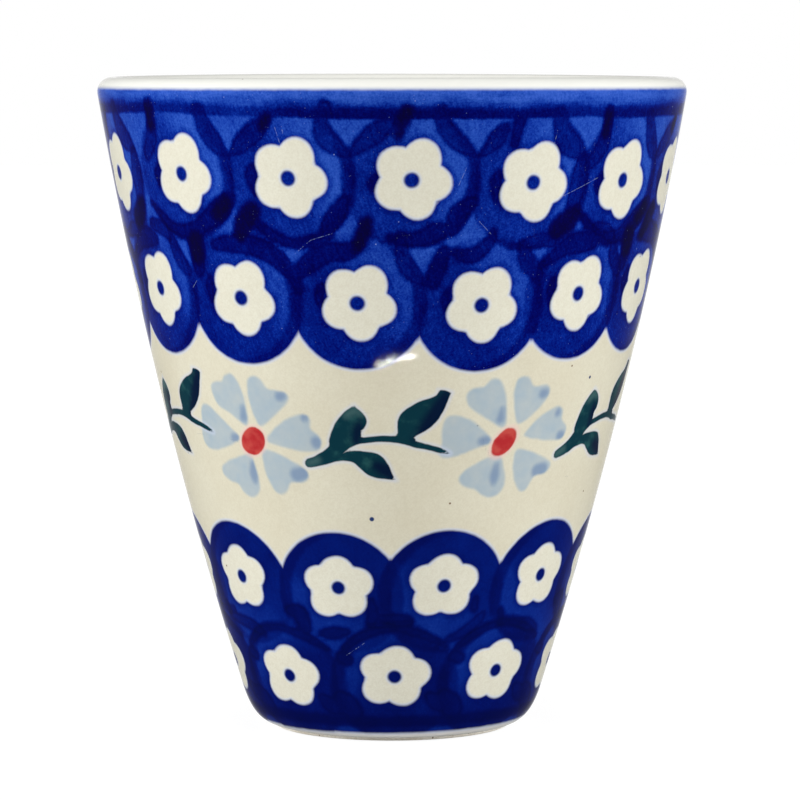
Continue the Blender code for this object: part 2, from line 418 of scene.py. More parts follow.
# The line brushed below the rim: angle, height of its lower edge, and how hard the brush pressed
RIM_LINE = [(-60, 94.8, 0.85), (-50, 95.1, 0.62), (-40, 94.7, 0.75), (-30, 94.5, 0.4), (-20, 94.4, 0.9),
            (-10, 94.15, 1.0), (0, 94.0, 1.0), (10, 94.2, 1.0), (20, 94.1, 0.85), (30, 94.25, 0.95),
            (40, 94.4, 0.6), (50, 94.1, 0.85), (60, 94.2, 0.9), (105, 94.6, 0.7), (150, 94.3, 0.95),
            (200, 94.7, 0.8), (250, 94.3, 0.9)]

# Garland flowers: outlines of the six petals, from the flower's middle
LEFT_FLOWER = [
    [(-1.1, 2.4), (-3.7, 4.1), (-5.9, 5.2), (-6.9, 6.9), (-6.9, 8.4), (-5.5, 9.0), (-4.4, 9.1),
     (-3.7, 10.0), (-2.3, 10.4), (-1.2, 9.1), (-0.5, 7.0), (-0.3, 4.5), (-0.5, 2.7)],
    [(1.5, 2.7), (0.7, 4.9), (0.4, 7.4), (0.7, 9.5), (1.9, 10.2), (3.1, 9.7), (4.1, 8.4), (5.6, 8.1),
     (6.9, 7.9), (7.4, 7.0), (6.3, 5.6), (4.1, 3.8), (2.4, 2.6)],
    [(2.6, 0.6), (4.9, 2.7), (7.4, 4.1), (9.5, 4.6), (10.4, 3.8), (10.2, 2.4), (11.3, 1.3), (11.6, 0.2),
     (10.7, -1.0), (8.4, -1.2), (5.6, -0.7), (3.1, -0.1)],
    [(1.6, -1.2), (3.8, -1.6), (6.6, -2.9), (8.4, -4.1), (8.6, -5.3), (7.4, -6.1), (5.6, -6.2),
     (4.9, -7.3), (3.8, -8.1), (2.6, -7.6), (1.6, -5.5), (1.3, -3.0)],
    [(-0.9, -1.9), (-0.3, -4.1), (0.0, -6.2), (-0.5, -8.0), (-1.9, -8.9), (-3.4, -8.4), (-4.4, -7.1),
     (-6.2, -6.6), (-7.6, -5.5), (-7.3, -4.3), (-4.8, -3.1), (-2.3, -2.3)],
    [(-2.6, 0.4), (-4.8, 2.4), (-7.3, 4.4), (-9.2, 5.3), (-10.4, 4.4), (-10.9, 2.0), (-11.3, 0.4),
     (-10.8, -1.3), (-9.0, -2.0), (-6.5, -1.5), (-4.0, -0.6)],
]
RIGHT_FLOWER = [
    [(-0.8, 2.3), (-3.3, 3.7), (-6.1, 5.5), (-7.0, 7.1), (-6.5, 8.4), (-5.1, 8.7), (-4.4, 8.8),
     (-3.3, 9.9), (-1.9, 9.6), (-0.8, 7.6), (-0.3, 5.5), (-0.1, 3.0)],
    [(1.7, 3.0), (1.0, 5.5), (0.6, 7.6), (1.0, 9.6), (2.1, 10.1), (3.1, 9.8), (4.0, 8.5), (5.3, 8.5),
     (6.7, 8.5), (7.3, 7.6), (6.7, 6.2), (4.9, 4.4), (2.8, 3.0)],
    [(3.5, 1.2), (5.6, 3.4), (7.8, 4.6), (9.6, 5.1), (10.6, 4.4), (10.6, 3.0), (11.7, 1.9), (11.9, 0.9),
     (11.0, -0.1), (8.9, -0.2), (6.0, 0.1), (3.9, 0.6)],
    [(2.4, -1.3), (4.6, -1.6), (7.4, -2.7), (9.2, -3.6), (9.4, -4.6), (8.5, -5.4), (6.4, -5.7),
     (5.6, -7.0), (4.9, -7.9), (3.7, -7.7), (2.6, -5.9), (2.1, -3.4)],
    [(-0.4, -2.0), (0.4, -3.8), (1.0, -5.9), (0.6, -7.7), (-1.1, -8.6), (-2.6, -8.1), (-3.9, -7.2),
     (-5.4, -6.8), (-6.5, -5.8), (-6.1, -4.5), (-4.0, -3.1), (-1.9, -2.2)],
    [(-2.2, 0.4), (-4.0, 2.3), (-6.1, 3.7), (-8.3, 4.4), (-9.7, 4.1), (-10.1, 2.3), (-9.9, 0.1),
     (-10.1, -1.3), (-9.4, -2.1), (-7.6, -2.0), (-4.7, -0.9), (-2.6, -0.2)],
]
PETAL_DABS = [
    [(-1.0, 5.2, 0.4), (-1.1, 3.6, 0.7)],
    [(6.0, 7.2, 0.8), (6.4, 7.3, 0.7)],
    [(9.5, 4.0, 0.6), (9.6, 4.3, 0.5)],
    [(10.8, 0.3, 0.9), (10.8, 0.0, 0.8)],
    [(6.8, -4.9, 1.1), (7.9, -4.6, 1.0)],
    [(-0.8, -3.6, 0.5), (-0.9, -5.2, 0.8), (-0.9, -6.4, 0.4)],
    [(-3.0, 0.4, 0.7), (-3.7, 0.3, 0.7)],
]
HEARTS = [{"long": 2.45, "short": 2.0, "tilt": 42.0}, {"long": 2.5, "short": 1.62, "tilt": 50.0}]

# Garland sprig: stem as a brush stroke, leaves as outlines, a corner where a point is given twice
STEMS = [
    [(-10.1, -3.0, 0.7), (-8.5, -2.5, 0.9), (-7.0, -1.8, 1.1), (-5.8, -0.7, 1.1), (-4.2, 0.2, 0.8),
     (-2.6, 0.7, 0.5)],
    [(-3.0, 0.6, 0.45), (0.0, 0.95, 0.47), (2.0, 1.0, 0.48), (4.0, 0.8, 0.6), (6.0, 0.1, 0.5),
     (8.0, -0.4, 0.42), (9.5, -0.85, 0.4), (10.9, -1.35, 0.15)],
]
LEAVES = [
    [(-6.9, 0.0), (-6.5, 2.0), (-5.8, 3.6), (-4.4, 5.2), (-3.1, 6.1), (-3.1, 6.1), (-1.9, 5.1),
     (-1.25, 3.9), (-1.5, 2.8), (-2.1, 2.2), (-2.1, 2.2), (-2.15, 1.0), (-3.0, 0.3), (-5.2, -1.4)],
    [(3.4, 0.8), (3.25, 2.5), (3.5, 4.4), (4.6, 5.6), (6.4, 6.7), (8.2, 7.3), (9.1, 7.8), (9.4, 8.5),
     (9.4, 8.5), (10.5, 8.4), (11.3, 8.0), (11.3, 8.0), (10.5, 6.2), (9.5, 4.2), (8.3, 2.9), (7.0, 2.0),
     (5.7, 1.3), (5.7, 1.3), (5.9, 0.6), (5.0, 0.4)],
    [(-6.0, -1.6), (-5.2, -1.35), (-4.2, -0.95), (-3.2, -0.85), (-1.5, -1.0), (0.0, -1.2), (1.0, -1.8),
     (1.8, -2.9), (2.3, -4.2), (2.85, -5.4), (2.85, -5.4), (1.5, -5.3), (0.2, -5.1), (-1.2, -4.6),
     (-2.4, -3.6), (-3.4, -2.7), (-5.0, -2.5), (-7.5, -2.9)],
]
NAVY_STROKES = [
    [(-2.9, 0.6, 0.6), (-2.5, 2.4, 0.8), (-2.4, 3.6, 0.3)],
    [(5.8, 1.0, 0.5), (8.2, 3.8, 1.2), (9.8, 6.2, 1.2), (10.6, 8.0, 0.6)],
    [(0.2, -3.2, 0.8), (1.6, -4.0, 1.2), (2.4, -5.0, 0.6)],
]
THIN_STROKES = [
    [(-10.1, -3.0, 0.5), (-8.8, -2.5, 0.5)],
    [(-4.2, 4.6, 0.5), (-3.0, 5.3, 0.6), (-2.0, 4.7, 0.3)],
]

# Drawing of the painting's shapes
STROKE_STEPS = 8  # circles drawn along each span of a brush stroke
OUTLINE_STEPS = 6  # points drawn along each span of an outline
STAMP_REACH = 15.0
SEEN_TURN = 90.0  # a shape reaches no further round the wall than this
NO_RUN = 1e-12
EVERYWHERE = 10 * HEIGHT
FLOWER_REACH = 15.0
SPRIG_REACH = 15.0


def smooth_path(points, steps, closed):
    """Catmull-Rom curve through rows of numbers."""
    points = np.array(points, dtype=float)
    count = len(points)
    spans = count if closed else count - 1
    share = np.arange(steps)[:, None] / steps
    drawn = []
    for span in range(spans):
        places = [span - 1, span, span + 1, span + 2]
        before, start, end, after = (
            points[place % count] if closed else points[min(max(place, 0), count - 1)] for place in places)
        drawn.append(0.5 * (
            2 * start
            + (end - before) * share
            + (2 * before - 5 * start + 4 * end - after) * share ** 2
            + (3 * start - before - 3 * end + after) * share ** 3))
    if not closed:
        drawn.append(points[-1:])
    return np.concatenate(drawn)


def from_segment(across, up, start, end):
    """Distance from a straight piece of line, and the share of it passed at the nearest point."""
    run = end - start
    length = max(run @ run, NO_RUN)
    share = np.clip(((across - start[0]) * run[0] + (up - start[1]) * run[1]) / length, 0.0, 1.0)
    return np.hypot(across - start[0] - share * run[0], up - start[1] - share * run[1]), share


def stroke_distance(across, up, path):
    """Distance from a brush stroke whose width changes along it."""
    drawn = smooth_path(path, STROKE_STEPS, closed=False)
    nearest = np.full(across.shape, FAR)
    for start, end in zip(drawn, drawn[1:]):
        distance, share = from_segment(across, up, start[:2], end[:2])
        nearest = np.minimum(nearest, distance - start[2] - share * (end[2] - start[2]))
    return nearest


def outline_distance(across, up, outline):
    """Signed distance from a closed smooth outline, negative inside."""
    drawn = smooth_path(outline, OUTLINE_STEPS, closed=True)
    nearest = np.full(across.shape, FAR)
    inside = np.zeros(across.shape, dtype=bool)
    for start, end in zip(drawn, np.roll(drawn, -1, axis=0)):
        distance, _ = from_segment(across, up, start, end)
        nearest = np.minimum(nearest, distance)
        if start[1] != end[1]:
            crossed = (start[1] > up) != (end[1] > up)
            crossing = start[0] + (up - start[1]) * (end[0] - start[0]) / (end[1] - start[1])
            inside ^= crossed & (across < crossing)
    return np.where(inside, -nearest, nearest)


def blossom_distance(across, up, blossom, twist, size):
    """Distance past a blossom's edge, measured from its dot."""
    turn = np.degrees(np.arctan2(up, across)) - twist
    edge = np.zeros(across.shape)
    for index, (angle, radius) in enumerate(blossom):
        last = index == len(blossom) - 1
        next_angle, next_radius = blossom[0] if last else blossom[index + 1]
        width = (next_angle - angle) % 360.0
        passed = (turn - angle) % 360.0
        is_notch = index % 2 == 0
        share = passed / width if is_notch else 1.0 - passed / width
        notch, tip = (radius, next_radius) if is_notch else (next_radius, radius)
        bent = notch + (tip - notch) * np.sin(np.clip(share, 0.0, 1.0) * math.pi / 2)
        edge = np.where(passed < width, bent, edge)
    return np.hypot(across, up) - size * edge


def tilted(across, up, tilt):
    """Millimetres along and beside a direction that is tilted by some degrees."""
    turn = math.radians(tilt)
    along = across * math.cos(turn) + up * math.sin(turn)
    beside = up * math.cos(turn) - across * math.sin(turn)
    return along, beside


def round_the_back(places, hidden):
    """Carry a row of places on round the back, evenly, at the row's mean height."""
    gap = (360.0 + places[0][0] - places[-1][0]) / (hidden + 1)
    height = sum(place[1] for place in places) / len(places)
    return places + [(places[-1][0] + gap * step, height) for step in range(1, hidden + 1)]


class Painting:
    """Signed distances from every painted edge, for all points of the painted glaze."""

    def __init__(self, angle, height):
        self.angle = angle
        self.height = height
        far = np.full(len(angle), FAR)
        names = ["disc", "second_disc", "crescent", "stroke", "second_stroke", "deep", "dark", "blossom",
                 "field", "leaf", "navy", "thin_leaf", "petal", "petal_dab", "heart",
                 "dot_across", "dot_up", "across_scratch", "along_scratch"]
        self.layers = {name: far.copy() for name in names}
        self.dots = [*DROPS]
        self.layers["depth"] = np.zeros(len(angle))

    def window(self, place, reach):
        """Points near a place on the wall, and their millimetres across and up from it."""
        turned = (self.angle - place[0] + 180.0) % 360.0 - 180.0
        across = np.radians(turned) * wall_radius(np.minimum(self.height, HEIGHT))
        up = (self.height - place[1]) * math.hypot(1.0, wall_slope(place[1]))
        near = np.flatnonzero((np.abs(across) < reach) & (np.abs(up) < reach) & (np.abs(turned) < SEEN_TURN))
        return near, across[near], up[near]

    def add(self, name, near, distance):
        """Join a shape to a layer."""
        layer = self.layers[name]
        layer[near] = np.minimum(layer[near], distance)

    def add_coat(self, name, near, distance):
        """Join a shape to a layer, and what overlaps it to the layer above."""
        layer, second = self.layers[name], self.layers["second_" + name]
        second[near] = np.minimum(second[near], np.maximum(layer[near], distance))
        layer[near] = np.minimum(layer[near], distance)

    def stamp(self, place, disc, blossom, dot, look, strokes):
        """One blossom, left pale in its blue disc, with the strokes brushed round it."""
        near, across, up = self.window(place, STAMP_REACH)
        self.add("blossom", near, blossom_distance(across, up, blossom, look["twist"], look["size"]))
        self.dots.append((*place, dot))
        first = np.hypot(across - disc["middle"][0], up - disc["middle"][1]) - disc["radius"]
        second = np.hypot(across - disc["second"][0], up - disc["second"][1]) - disc["radius"]
        second = second - SECOND_PRINT_GROWTH
        pale = math.radians(look["pale_towards"])
        towards = (across * math.cos(pale) + up * math.sin(pale)) / disc["radius"]
        share = np.clip((towards - PALE_FROM) / (PALE_TO - PALE_FROM), 0.0, 1.0)
        share = share * share * (3.0 - 2.0 * share)
        mine = first < self.layers["disc"][near]
        self.layers["depth"][near[mine]] = (look["dark"] + (look["pale"] - look["dark"]) * share)[mine]
        self.add_coat("disc", near, first)
        self.add("crescent", near, np.maximum(first, -second))
        for path in strokes["coat"]:
            self.add_coat("stroke", near, stroke_distance(across, up, path) - BRUSH_SPREAD)
        for name in ("deep", "dark"):
            for path in strokes[name]:
                self.add(name, near, stroke_distance(across, up, path) - BRUSH_SPREAD)

    def row(self, places, disc, blossom, dot, look, variants):
        """A row of stamps, with the brushed strokes taken in turn."""
        for index, place in enumerate(places):
            self.stamp(place, disc, blossom, dot, look, variants[index % len(variants)])

    def fields(self):
        """The blue bands, whose free edge follows the discs."""
        self.layers["field"] = self.layers["disc"].copy()
        for low, high in (UPPER_FIELD, LOWER_FIELD):
            band = np.maximum(low - self.height, self.height - high)
            self.layers["field"] = np.minimum(self.layers["field"], band)
        past_top = self.height - UPPER_FIELD[1]
        past_foot = LOWER_FIELD[0] + FOOT_EDGE_TILT * np.sin(np.radians(self.angle)) - self.height
        self.layers["field"] = np.maximum(self.layers["field"], np.maximum(past_top, past_foot))

    def rim(self):
        """Height above the line brushed below the rim, and the pressure on the brush."""
        angles, edges, pressures = zip(*RIM_LINE)
        self.layers["rim_line"] = self.height - np.interp(self.angle, angles, edges, period=360.0)
        self.layers["rim_pressure"] = np.interp(self.angle, angles, pressures, period=360.0)

    def flower(self, place, petals, heart):
        """A garland flower of six pale petals round a red heart."""
        near, across, up = self.window(place, FLOWER_REACH)
        for petal in petals:
            self.add("petal", near, outline_distance(across, up, petal))
        for path in PETAL_DABS:
            self.add("petal_dab", near, stroke_distance(across, up, path))
        along, beside = tilted(across, up, heart["tilt"])
        scaled = np.hypot(along / heart["long"], beside / heart["short"]) - 1.0
        self.add("heart", near, scaled * heart["short"])

    def sprig(self, place, tilt):
        """A garland sprig: a bent stem with three leaves, tilted by some degrees."""
        near, level, plumb = self.window(place, SPRIG_REACH)
        across, up = tilted(level, plumb, tilt)
        for path in STEMS:
            self.add("leaf", near, stroke_distance(across, up, path))
        for outline in LEAVES:
            self.add("leaf", near, outline_distance(across, up, outline))
        for name, paths in (("navy", NAVY_STROKES), ("thin_leaf", THIN_STROKES)):
            for path in paths:
                self.add(name, near, stroke_distance(across, up, path))

    def claim(self, nearest, near, distance, **layers):
        """Take the layers of the points that no earlier shape lies nearer to."""
        mine = distance < nearest[near]
        chosen = near[mine]
        nearest[chosen] = distance[mine]
        for name, layer in layers.items():
            self.layers[name][chosen] = layer[mine]

    def place_dots(self):
        """Place of each point from the nearest dot, in that dot's radii."""
        nearest = np.full(len(self.angle), np.inf)
        for angle, height, radius in self.dots:
            near, across, up = self.window((angle, height), EVERYWHERE)
            distance = np.hypot(across, up)
            self.claim(nearest, near, distance, dot_across=across / radius, dot_up=up / radius)

    def place_scratches(self):
        """Place of each point across the nearest scratch, and along it in half lengths."""
        nearest = np.full(len(self.angle), np.inf)
        for start, end in SCRATCHES:
            middle = ((start[0] + end[0]) / 2, (start[1] + end[1]) / 2)
            near, across, up = self.window(middle, EVERYWHERE)
            run = np.array([math.radians(end[0] - start[0]) * wall_radius(middle[1]), end[1] - start[1]])
            half = np.linalg.norm(run) / 2
            run /= 2 * half
            along = across * run[0] + up * run[1]
            beside = up * run[0] - across * run[1]
            distance = np.hypot(np.maximum(np.abs(along) - half, 0.0), beside)
            self.claim(nearest, near, distance, across_scratch=beside, along_scratch=along / half)

    def paint(self):
        """The whole decoration."""
        upper = (UPPER_DISC, UPPER_BLOSSOM, UPPER_DOT)
        lower = (LOWER_DISC, LOWER_BLOSSOM, LOWER_DOT)
        self.row(round_the_back(ROW_1, HIDDEN_ROW_1), *upper, ROW_1_PRINT, ROW_1_STROKES)
        self.row(round_the_back(ROW_2, HIDDEN_ROW_2), *upper, ROW_2_PRINT, ROW_2_STROKES)
        self.row(round_the_back(ROW_3, HIDDEN_ROW_3), *lower, ROW_3_PRINT, ROW_3_STROKES)
        self.row(round_the_back(ROW_4, HIDDEN_ROW_4), *lower, ROW_4_PRINT, ROW_4_STROKES)
        self.fields()
        self.rim()
        for index, place in enumerate(round_the_back(FLOWERS, HIDDEN_FLOWERS)):
            self.flower(place, (LEFT_FLOWER, RIGHT_FLOWER)[index % 2], HEARTS[index % 2])
        tilts = SPRIG_TILTS + [0.0] * HIDDEN_SPRIGS
        for place, tilt in zip(round_the_back(SPRIGS, HIDDEN_SPRIGS), tilts):
            self.sprig(place, tilt)
        self.place_dots()
        self.place_scratches()

    def keep_on(self, mesh):
        """Store each layer on the mesh under its own name."""
        for name, layer in self.layers.items():
            attribute = mesh.attributes.new(name, "FLOAT", "POINT")
            attribute.data.foreach_set("value", np.clip(layer, -FAR, FAR).astype(np.float32))


def screen_colour(red, green, blue):
    """Linear colour of a screen colour given in 0 to 255."""
    shares = [value / 255.0 for value in (red, green, blue)]
    linear = [share / 12.92 if share <= 0.04045 else ((share + 0.055) / 1.055) ** 2.4 for share in shares]
    return (*linear, 1.0)


# Colours, as they show in plain light
COBALT_COATS = [
    (0.00, screen_colour(58, 98, 201)),
    (0.16, screen_colour(36, 77, 182)),
    (0.32, screen_colour(14, 48, 155)),
    (0.44, screen_colour(4, 29, 130)),
    (0.56, screen_colour(3, 13, 106)),
    (0.68, screen_colour(3, 4, 86)),
    (0.82, screen_colour(4, 3, 66)),
    (1.00, screen_colour(10, 8, 42)),
]
LOWER_BLUE = screen_colour(8, 26, 74)
CREAM_PALE = screen_colour(232, 228, 207)
CREAM_WARM = screen_colour(225, 219, 196)
CREAM_SAND = screen_colour(200, 189, 160)
CREAM_BLOSSOM = screen_colour(243, 243, 229)
# Painted light: the lip whitened past the cream, as its upturned top is lit from above
LIP_PAINTED_LIGHT = screen_colour(254, 254, 247)
# Painted light: the cream whitened at the foot, standing in for light thrown up from the floor
FOOT_PAINTED_LIGHT = screen_colour(252, 250, 244)
HALO = screen_colour(205, 215, 238)
IRON_SPECK = screen_colour(128, 108, 84)
INK_SPECK = screen_colour(40, 60, 110)
# Pale of pinholes, dust and scratches. In the specks it is partly painted sparkle, glints of the glaze drawn
# into the colour
PINHOLE_AND_SPARKLE = screen_colour(150, 170, 215)
BROWN_BLUE = screen_colour(18, 10, 36)
PETAL_WASH = screen_colour(170, 188, 200)
PETAL_DAB = screen_colour(118, 144, 178)
HEART_PALE = screen_colour(200, 78, 72)
HEART_DEEP = screen_colour(184, 48, 52)
HEART_HALO = screen_colour(240, 205, 195)
LEAF_TEAL = screen_colour(14, 54, 66)
LEAF_GREEN = screen_colour(38, 84, 86)
LEAF_NAVY = screen_colour(9, 26, 54)
LEAF_THIN = screen_colour(62, 96, 98)
LINER_PALE = screen_colour(236, 231, 212)
LINER_WARM = screen_colour(224, 215, 188)
CLAY_PALE = screen_colour(248, 244, 234)
CLAY_DARK = screen_colour(230, 222, 206)

# Shine of the glazes, which comes from their clear coat alone, and of the bare clay
GLAZE_SPECULAR = 0.0
CLAY_SPECULAR = 0.10
COAT_IOR = 1.03
COAT_TINT = (0.87, 0.87, 0.87, 1.0)

# Noise on the surfaces: size of the grains in millimetres, their detail and roughness, turn and stretch
BROAD = {"size": 5.0, "detail": 3.0}
MOTTLE = {"size": 1.1, "detail": 4.0, "roughness": 0.6}
GRAIN = {"size": 0.3, "roughness": 0.6}
STREAK = {"size": 0.4, "detail": 3.0, "roughness": 0.6, "turn": (0.0, -0.3, 0.0), "longer": (1.0, 1.0, 6.0)}
BRUSHED = {"size": 2.6, "detail": 3.0, "roughness": 0.6, "longer": (2.9, 2.9, 0.4)}
WAVE = {"size": 1.6, "detail": 3.0}
SPARKLE_DUST_PATCHES = {"size": 6.0}
CREAM_CLOUD = {"size": 12.0}
FINE_SAND = {"size": 0.28}
COARSE_SAND = {"size": 0.8}
GARLAND_CLOUD = {"size": 2.2, "detail": 3.0}
GLAZE_RIPPLE = {"size": 1.8}
FINE_RIPPLE = {"size": 0.7, "detail": 1.0}
GLOSS_CLOUD = {"size": 2.5}
LINER_CLOUD = {"size": 9.0, "detail": 3.0}
LINER_RIPPLE = {"size": 2.0}
RECESS_CLOUD = {"size": 4.0, "detail": 4.0, "roughness": 0.6}
RECESS_RIPPLE = {"size": 1.2, "detail": 3.0}
CLAY_SAND = {"size": 0.5, "detail": 4.0, "roughness": 0.65}
CLAY_CLOUD = {"size": 5.0}
CLAY_MARKS = {"size": 0.8, "longer": (10.0, 10.0, 0.5)}

# Specks: their spacing and radius in millimetres, and the share of places that have one
# The dust and pit specks are partly real and partly painted sparkle: pale dots that stand in for glints on
# the glaze
DUST_AND_SPARKLE = {"spacing": 0.7, "radius": 0.075, "share": 0.6}
PITS_AND_SPARKLE = {"spacing": 2.8, "radius": 0.12, "share": 0.4}
IRON_SPECKS = {"spacing": 3.6, "radius": 0.22, "share": 0.5}
INK_SPECKS = {"spacing": 9.0, "radius": 0.42, "share": 0.3}
LINER_SPECKS = {"spacing": 3.4, "radius": 0.24, "share": 0.6}
RECESS_SPECKS = {"spacing": 2.2, "radius": 0.22, "share": 0.6}
CLAY_GRIT = {"spacing": 1.4, "radius": 0.16, "share": 0.5}
SPECK_CORE = 0.5  # share of a speck's radius that has its full colour

# Relief of each surface, in millimetres
GLAZE_RELIEF = 0.012
FINE_RIPPLE_SHARE = 0.5
LINER_RELIEF = 0.03
RECESS_RELIEF = 0.04
CLAY_RELIEF = 0.08

# Roughness of each surface, and how much it varies
PAINTED_GLOSS = (0.06, 0.04)
LINER_GLOSS = (0.14, 0.10)
RECESS_GLOSS = (0.20, 0.14)
CLAY_ROUGHNESS = (0.78, 0.2)

# Edges of the painting in millimetres: how far they waver and how soft they are
WAVE_DEPTH = 0.5
STAMP_WAVE = 0.35  # shares of the waver that each edge takes
PETAL_WAVE = 0.7
HEART_WAVE = 0.6
LEAF_WAVE = 0.5
STAMP_SOFT = 0.27
DOT_SOFT = 0.3
DISC_SOFT = 0.42
DARK_SOFT = 0.7
BLOSSOM_SOFT = 0.3
PETAL_SOFT = 0.35
DAB_SOFT = 0.55
DAB_END_SOFT = 0.3
HEART_SOFT = 0.15
LEAF_SOFT = 0.13
NAVY_SOFT = 0.9
THIN_SOFT = 0.7

# Depth of the blue, from 0 where it is palest to 1 where it is darkest
GROUND_DEPTH = 0.19
LOW_GROUND_EXTRA = 0.16
RIM_GROUND_LESS = 0.11
SECOND_DISC_EXTRA = 0.13
BESIDE_BLOSSOM_DEPTH = 0.60
BESIDE_BLOSSOM_SHARE = 0.35
COATS = [
    {"layer": "crescent", "depth": 0.64, "share": 0.7, "soft": 0.55},
    {"layer": "stroke", "depth": 0.57, "share": 0.8, "soft": 0.5},
    {"layer": "second_stroke", "depth": 0.72, "share": 0.65, "soft": 0.5},
    {"layer": "deep", "depth": 0.67, "share": 0.8, "soft": 0.55},
]
POOLED_LAYERS = ("stroke", "deep")
POOL_INSET = 0.3
POOL_EXTRA = 0.07
RIM_LINE_DEPTH = 0.66
FOOT_LINE_DEPTH = 0.74
FOOT_LINE_SHARE = 0.85
DARK_DEPTH = 0.92
DARK_SHARE = 0.75
MOTTLE_DEPTH = 0.18
STREAK_DEPTH = 0.25
GRAIN_DEPTH = 0.42
BROAD_DEPTH = 0.22
BRUSHED_DEPTH = 0.5
FINE_EVERYWHERE = 0.35  # the lower fields are painted more evenly than the upper ones
FINE_UPPER_EXTRA = 0.65

# Ramps: the value up to which something is full, and the value at which it has gone
NEAR_RIM = (2.0, 0.8)
LOWER_PART = (40.0, 60.0)
BESIDE_BLOSSOM = (0.2, 1.3)
POOL_REACH = (0.0, 0.4)
RIM_LINE_EDGE = (0.3, -0.3)
RIM_LINE_FADE = (0.8, 3.2)
FOOT_LINE_TOP = (3.9, 5.0)
FOOT_LINE_EDGE = (3.2, 2.2)
SPARKLE_DUST_RANGE = (0.12, -0.08)
SCRATCH_ENDS = (0.9, 1.0)
SCRATCH_BREAKS = (0.04, -0.08)
CREAM_RANGE = (-0.4, 0.4)
SAND_RANGE = (0.3, -0.3)
# Heights over which the painted light on the lip comes in, full from the higher one up
LIP_LIGHT_FADE = (98.8, 98.2)
# Heights over which the painted light at the foot fades into the cream, full from the lower one down
FOOT_LIGHT_FADE = (2.0, 2.6)
FIELD_HALO = (0.05, 0.6)
GARLAND_HALO = (0.0, 0.7)
HEART_RANGE = (-0.15, 0.15)
LEAF_RANGE = (0.0, 0.3)
LINER_FLOOR_FADE = (8.0, 40.0)
LINER_RANGE = (0.9, 0.0)
RECESS_RANGE = (-0.15, 0.2)
CLAY_RANGE = (-0.25, 0.3)

# Shares in which one colour is laid over another
LOWER_BLUE_SHARE = 0.3
BROWN_SHARE = 0.22
DUST_AND_SPARKLE_SHARE = 0.45
PITS_AND_SPARKLE_SHARE = 0.7
SCRATCH_SHARE = 0.5
SCRATCH_HALF_WIDTH = 0.04
SCRATCH_SOFT = 0.03
BLOSSOM_SHARE = 0.5
SAND_SHARE = 0.24
COARSE_SAND_SHARE = 0.6
FIELD_HALO_SHARE = 0.75
HEART_HALO_SHARE = 0.7
LEAF_HALO_SHARE = 0.5
WASH_SHARE = 0.85
WASH_CLOUD = 0.5
DAB_SHARE = 0.75
LINER_FLOOR_SHARE = 0.6
LINER_CLOUD_SHARE = 0.9
LINER_WARMTH = 0.25
CLAY_CLOUD_SHARE = 0.8


class Value:
    """One output of a node, with plain arithmetic on it."""

    def __init__(self, graph, socket):
        self.graph = graph
        self.socket = socket

    def __add__(self, other):
        return self.graph.calc("ADD", self, other)

    def __sub__(self, other):
        return self.graph.calc("SUBTRACT", self, other)

    def __rsub__(self, other):
        return self.graph.calc("SUBTRACT", other, self)

    def __mul__(self, other):
        return self.graph.calc("MULTIPLY", self, other)

    def __abs__(self):
        return self.graph.calc("ABSOLUTE", self)

    def at_least(self, other):
        """The larger of two values."""
        return self.graph.calc("MAXIMUM", self, other)

    def at_most(self, other):
        """The smaller of two values."""
        return self.graph.calc("MINIMUM", self, other)

    def beside(self, output):
        """Another output of the same node."""
        return Value(self.graph, self.socket.node.outputs[output])


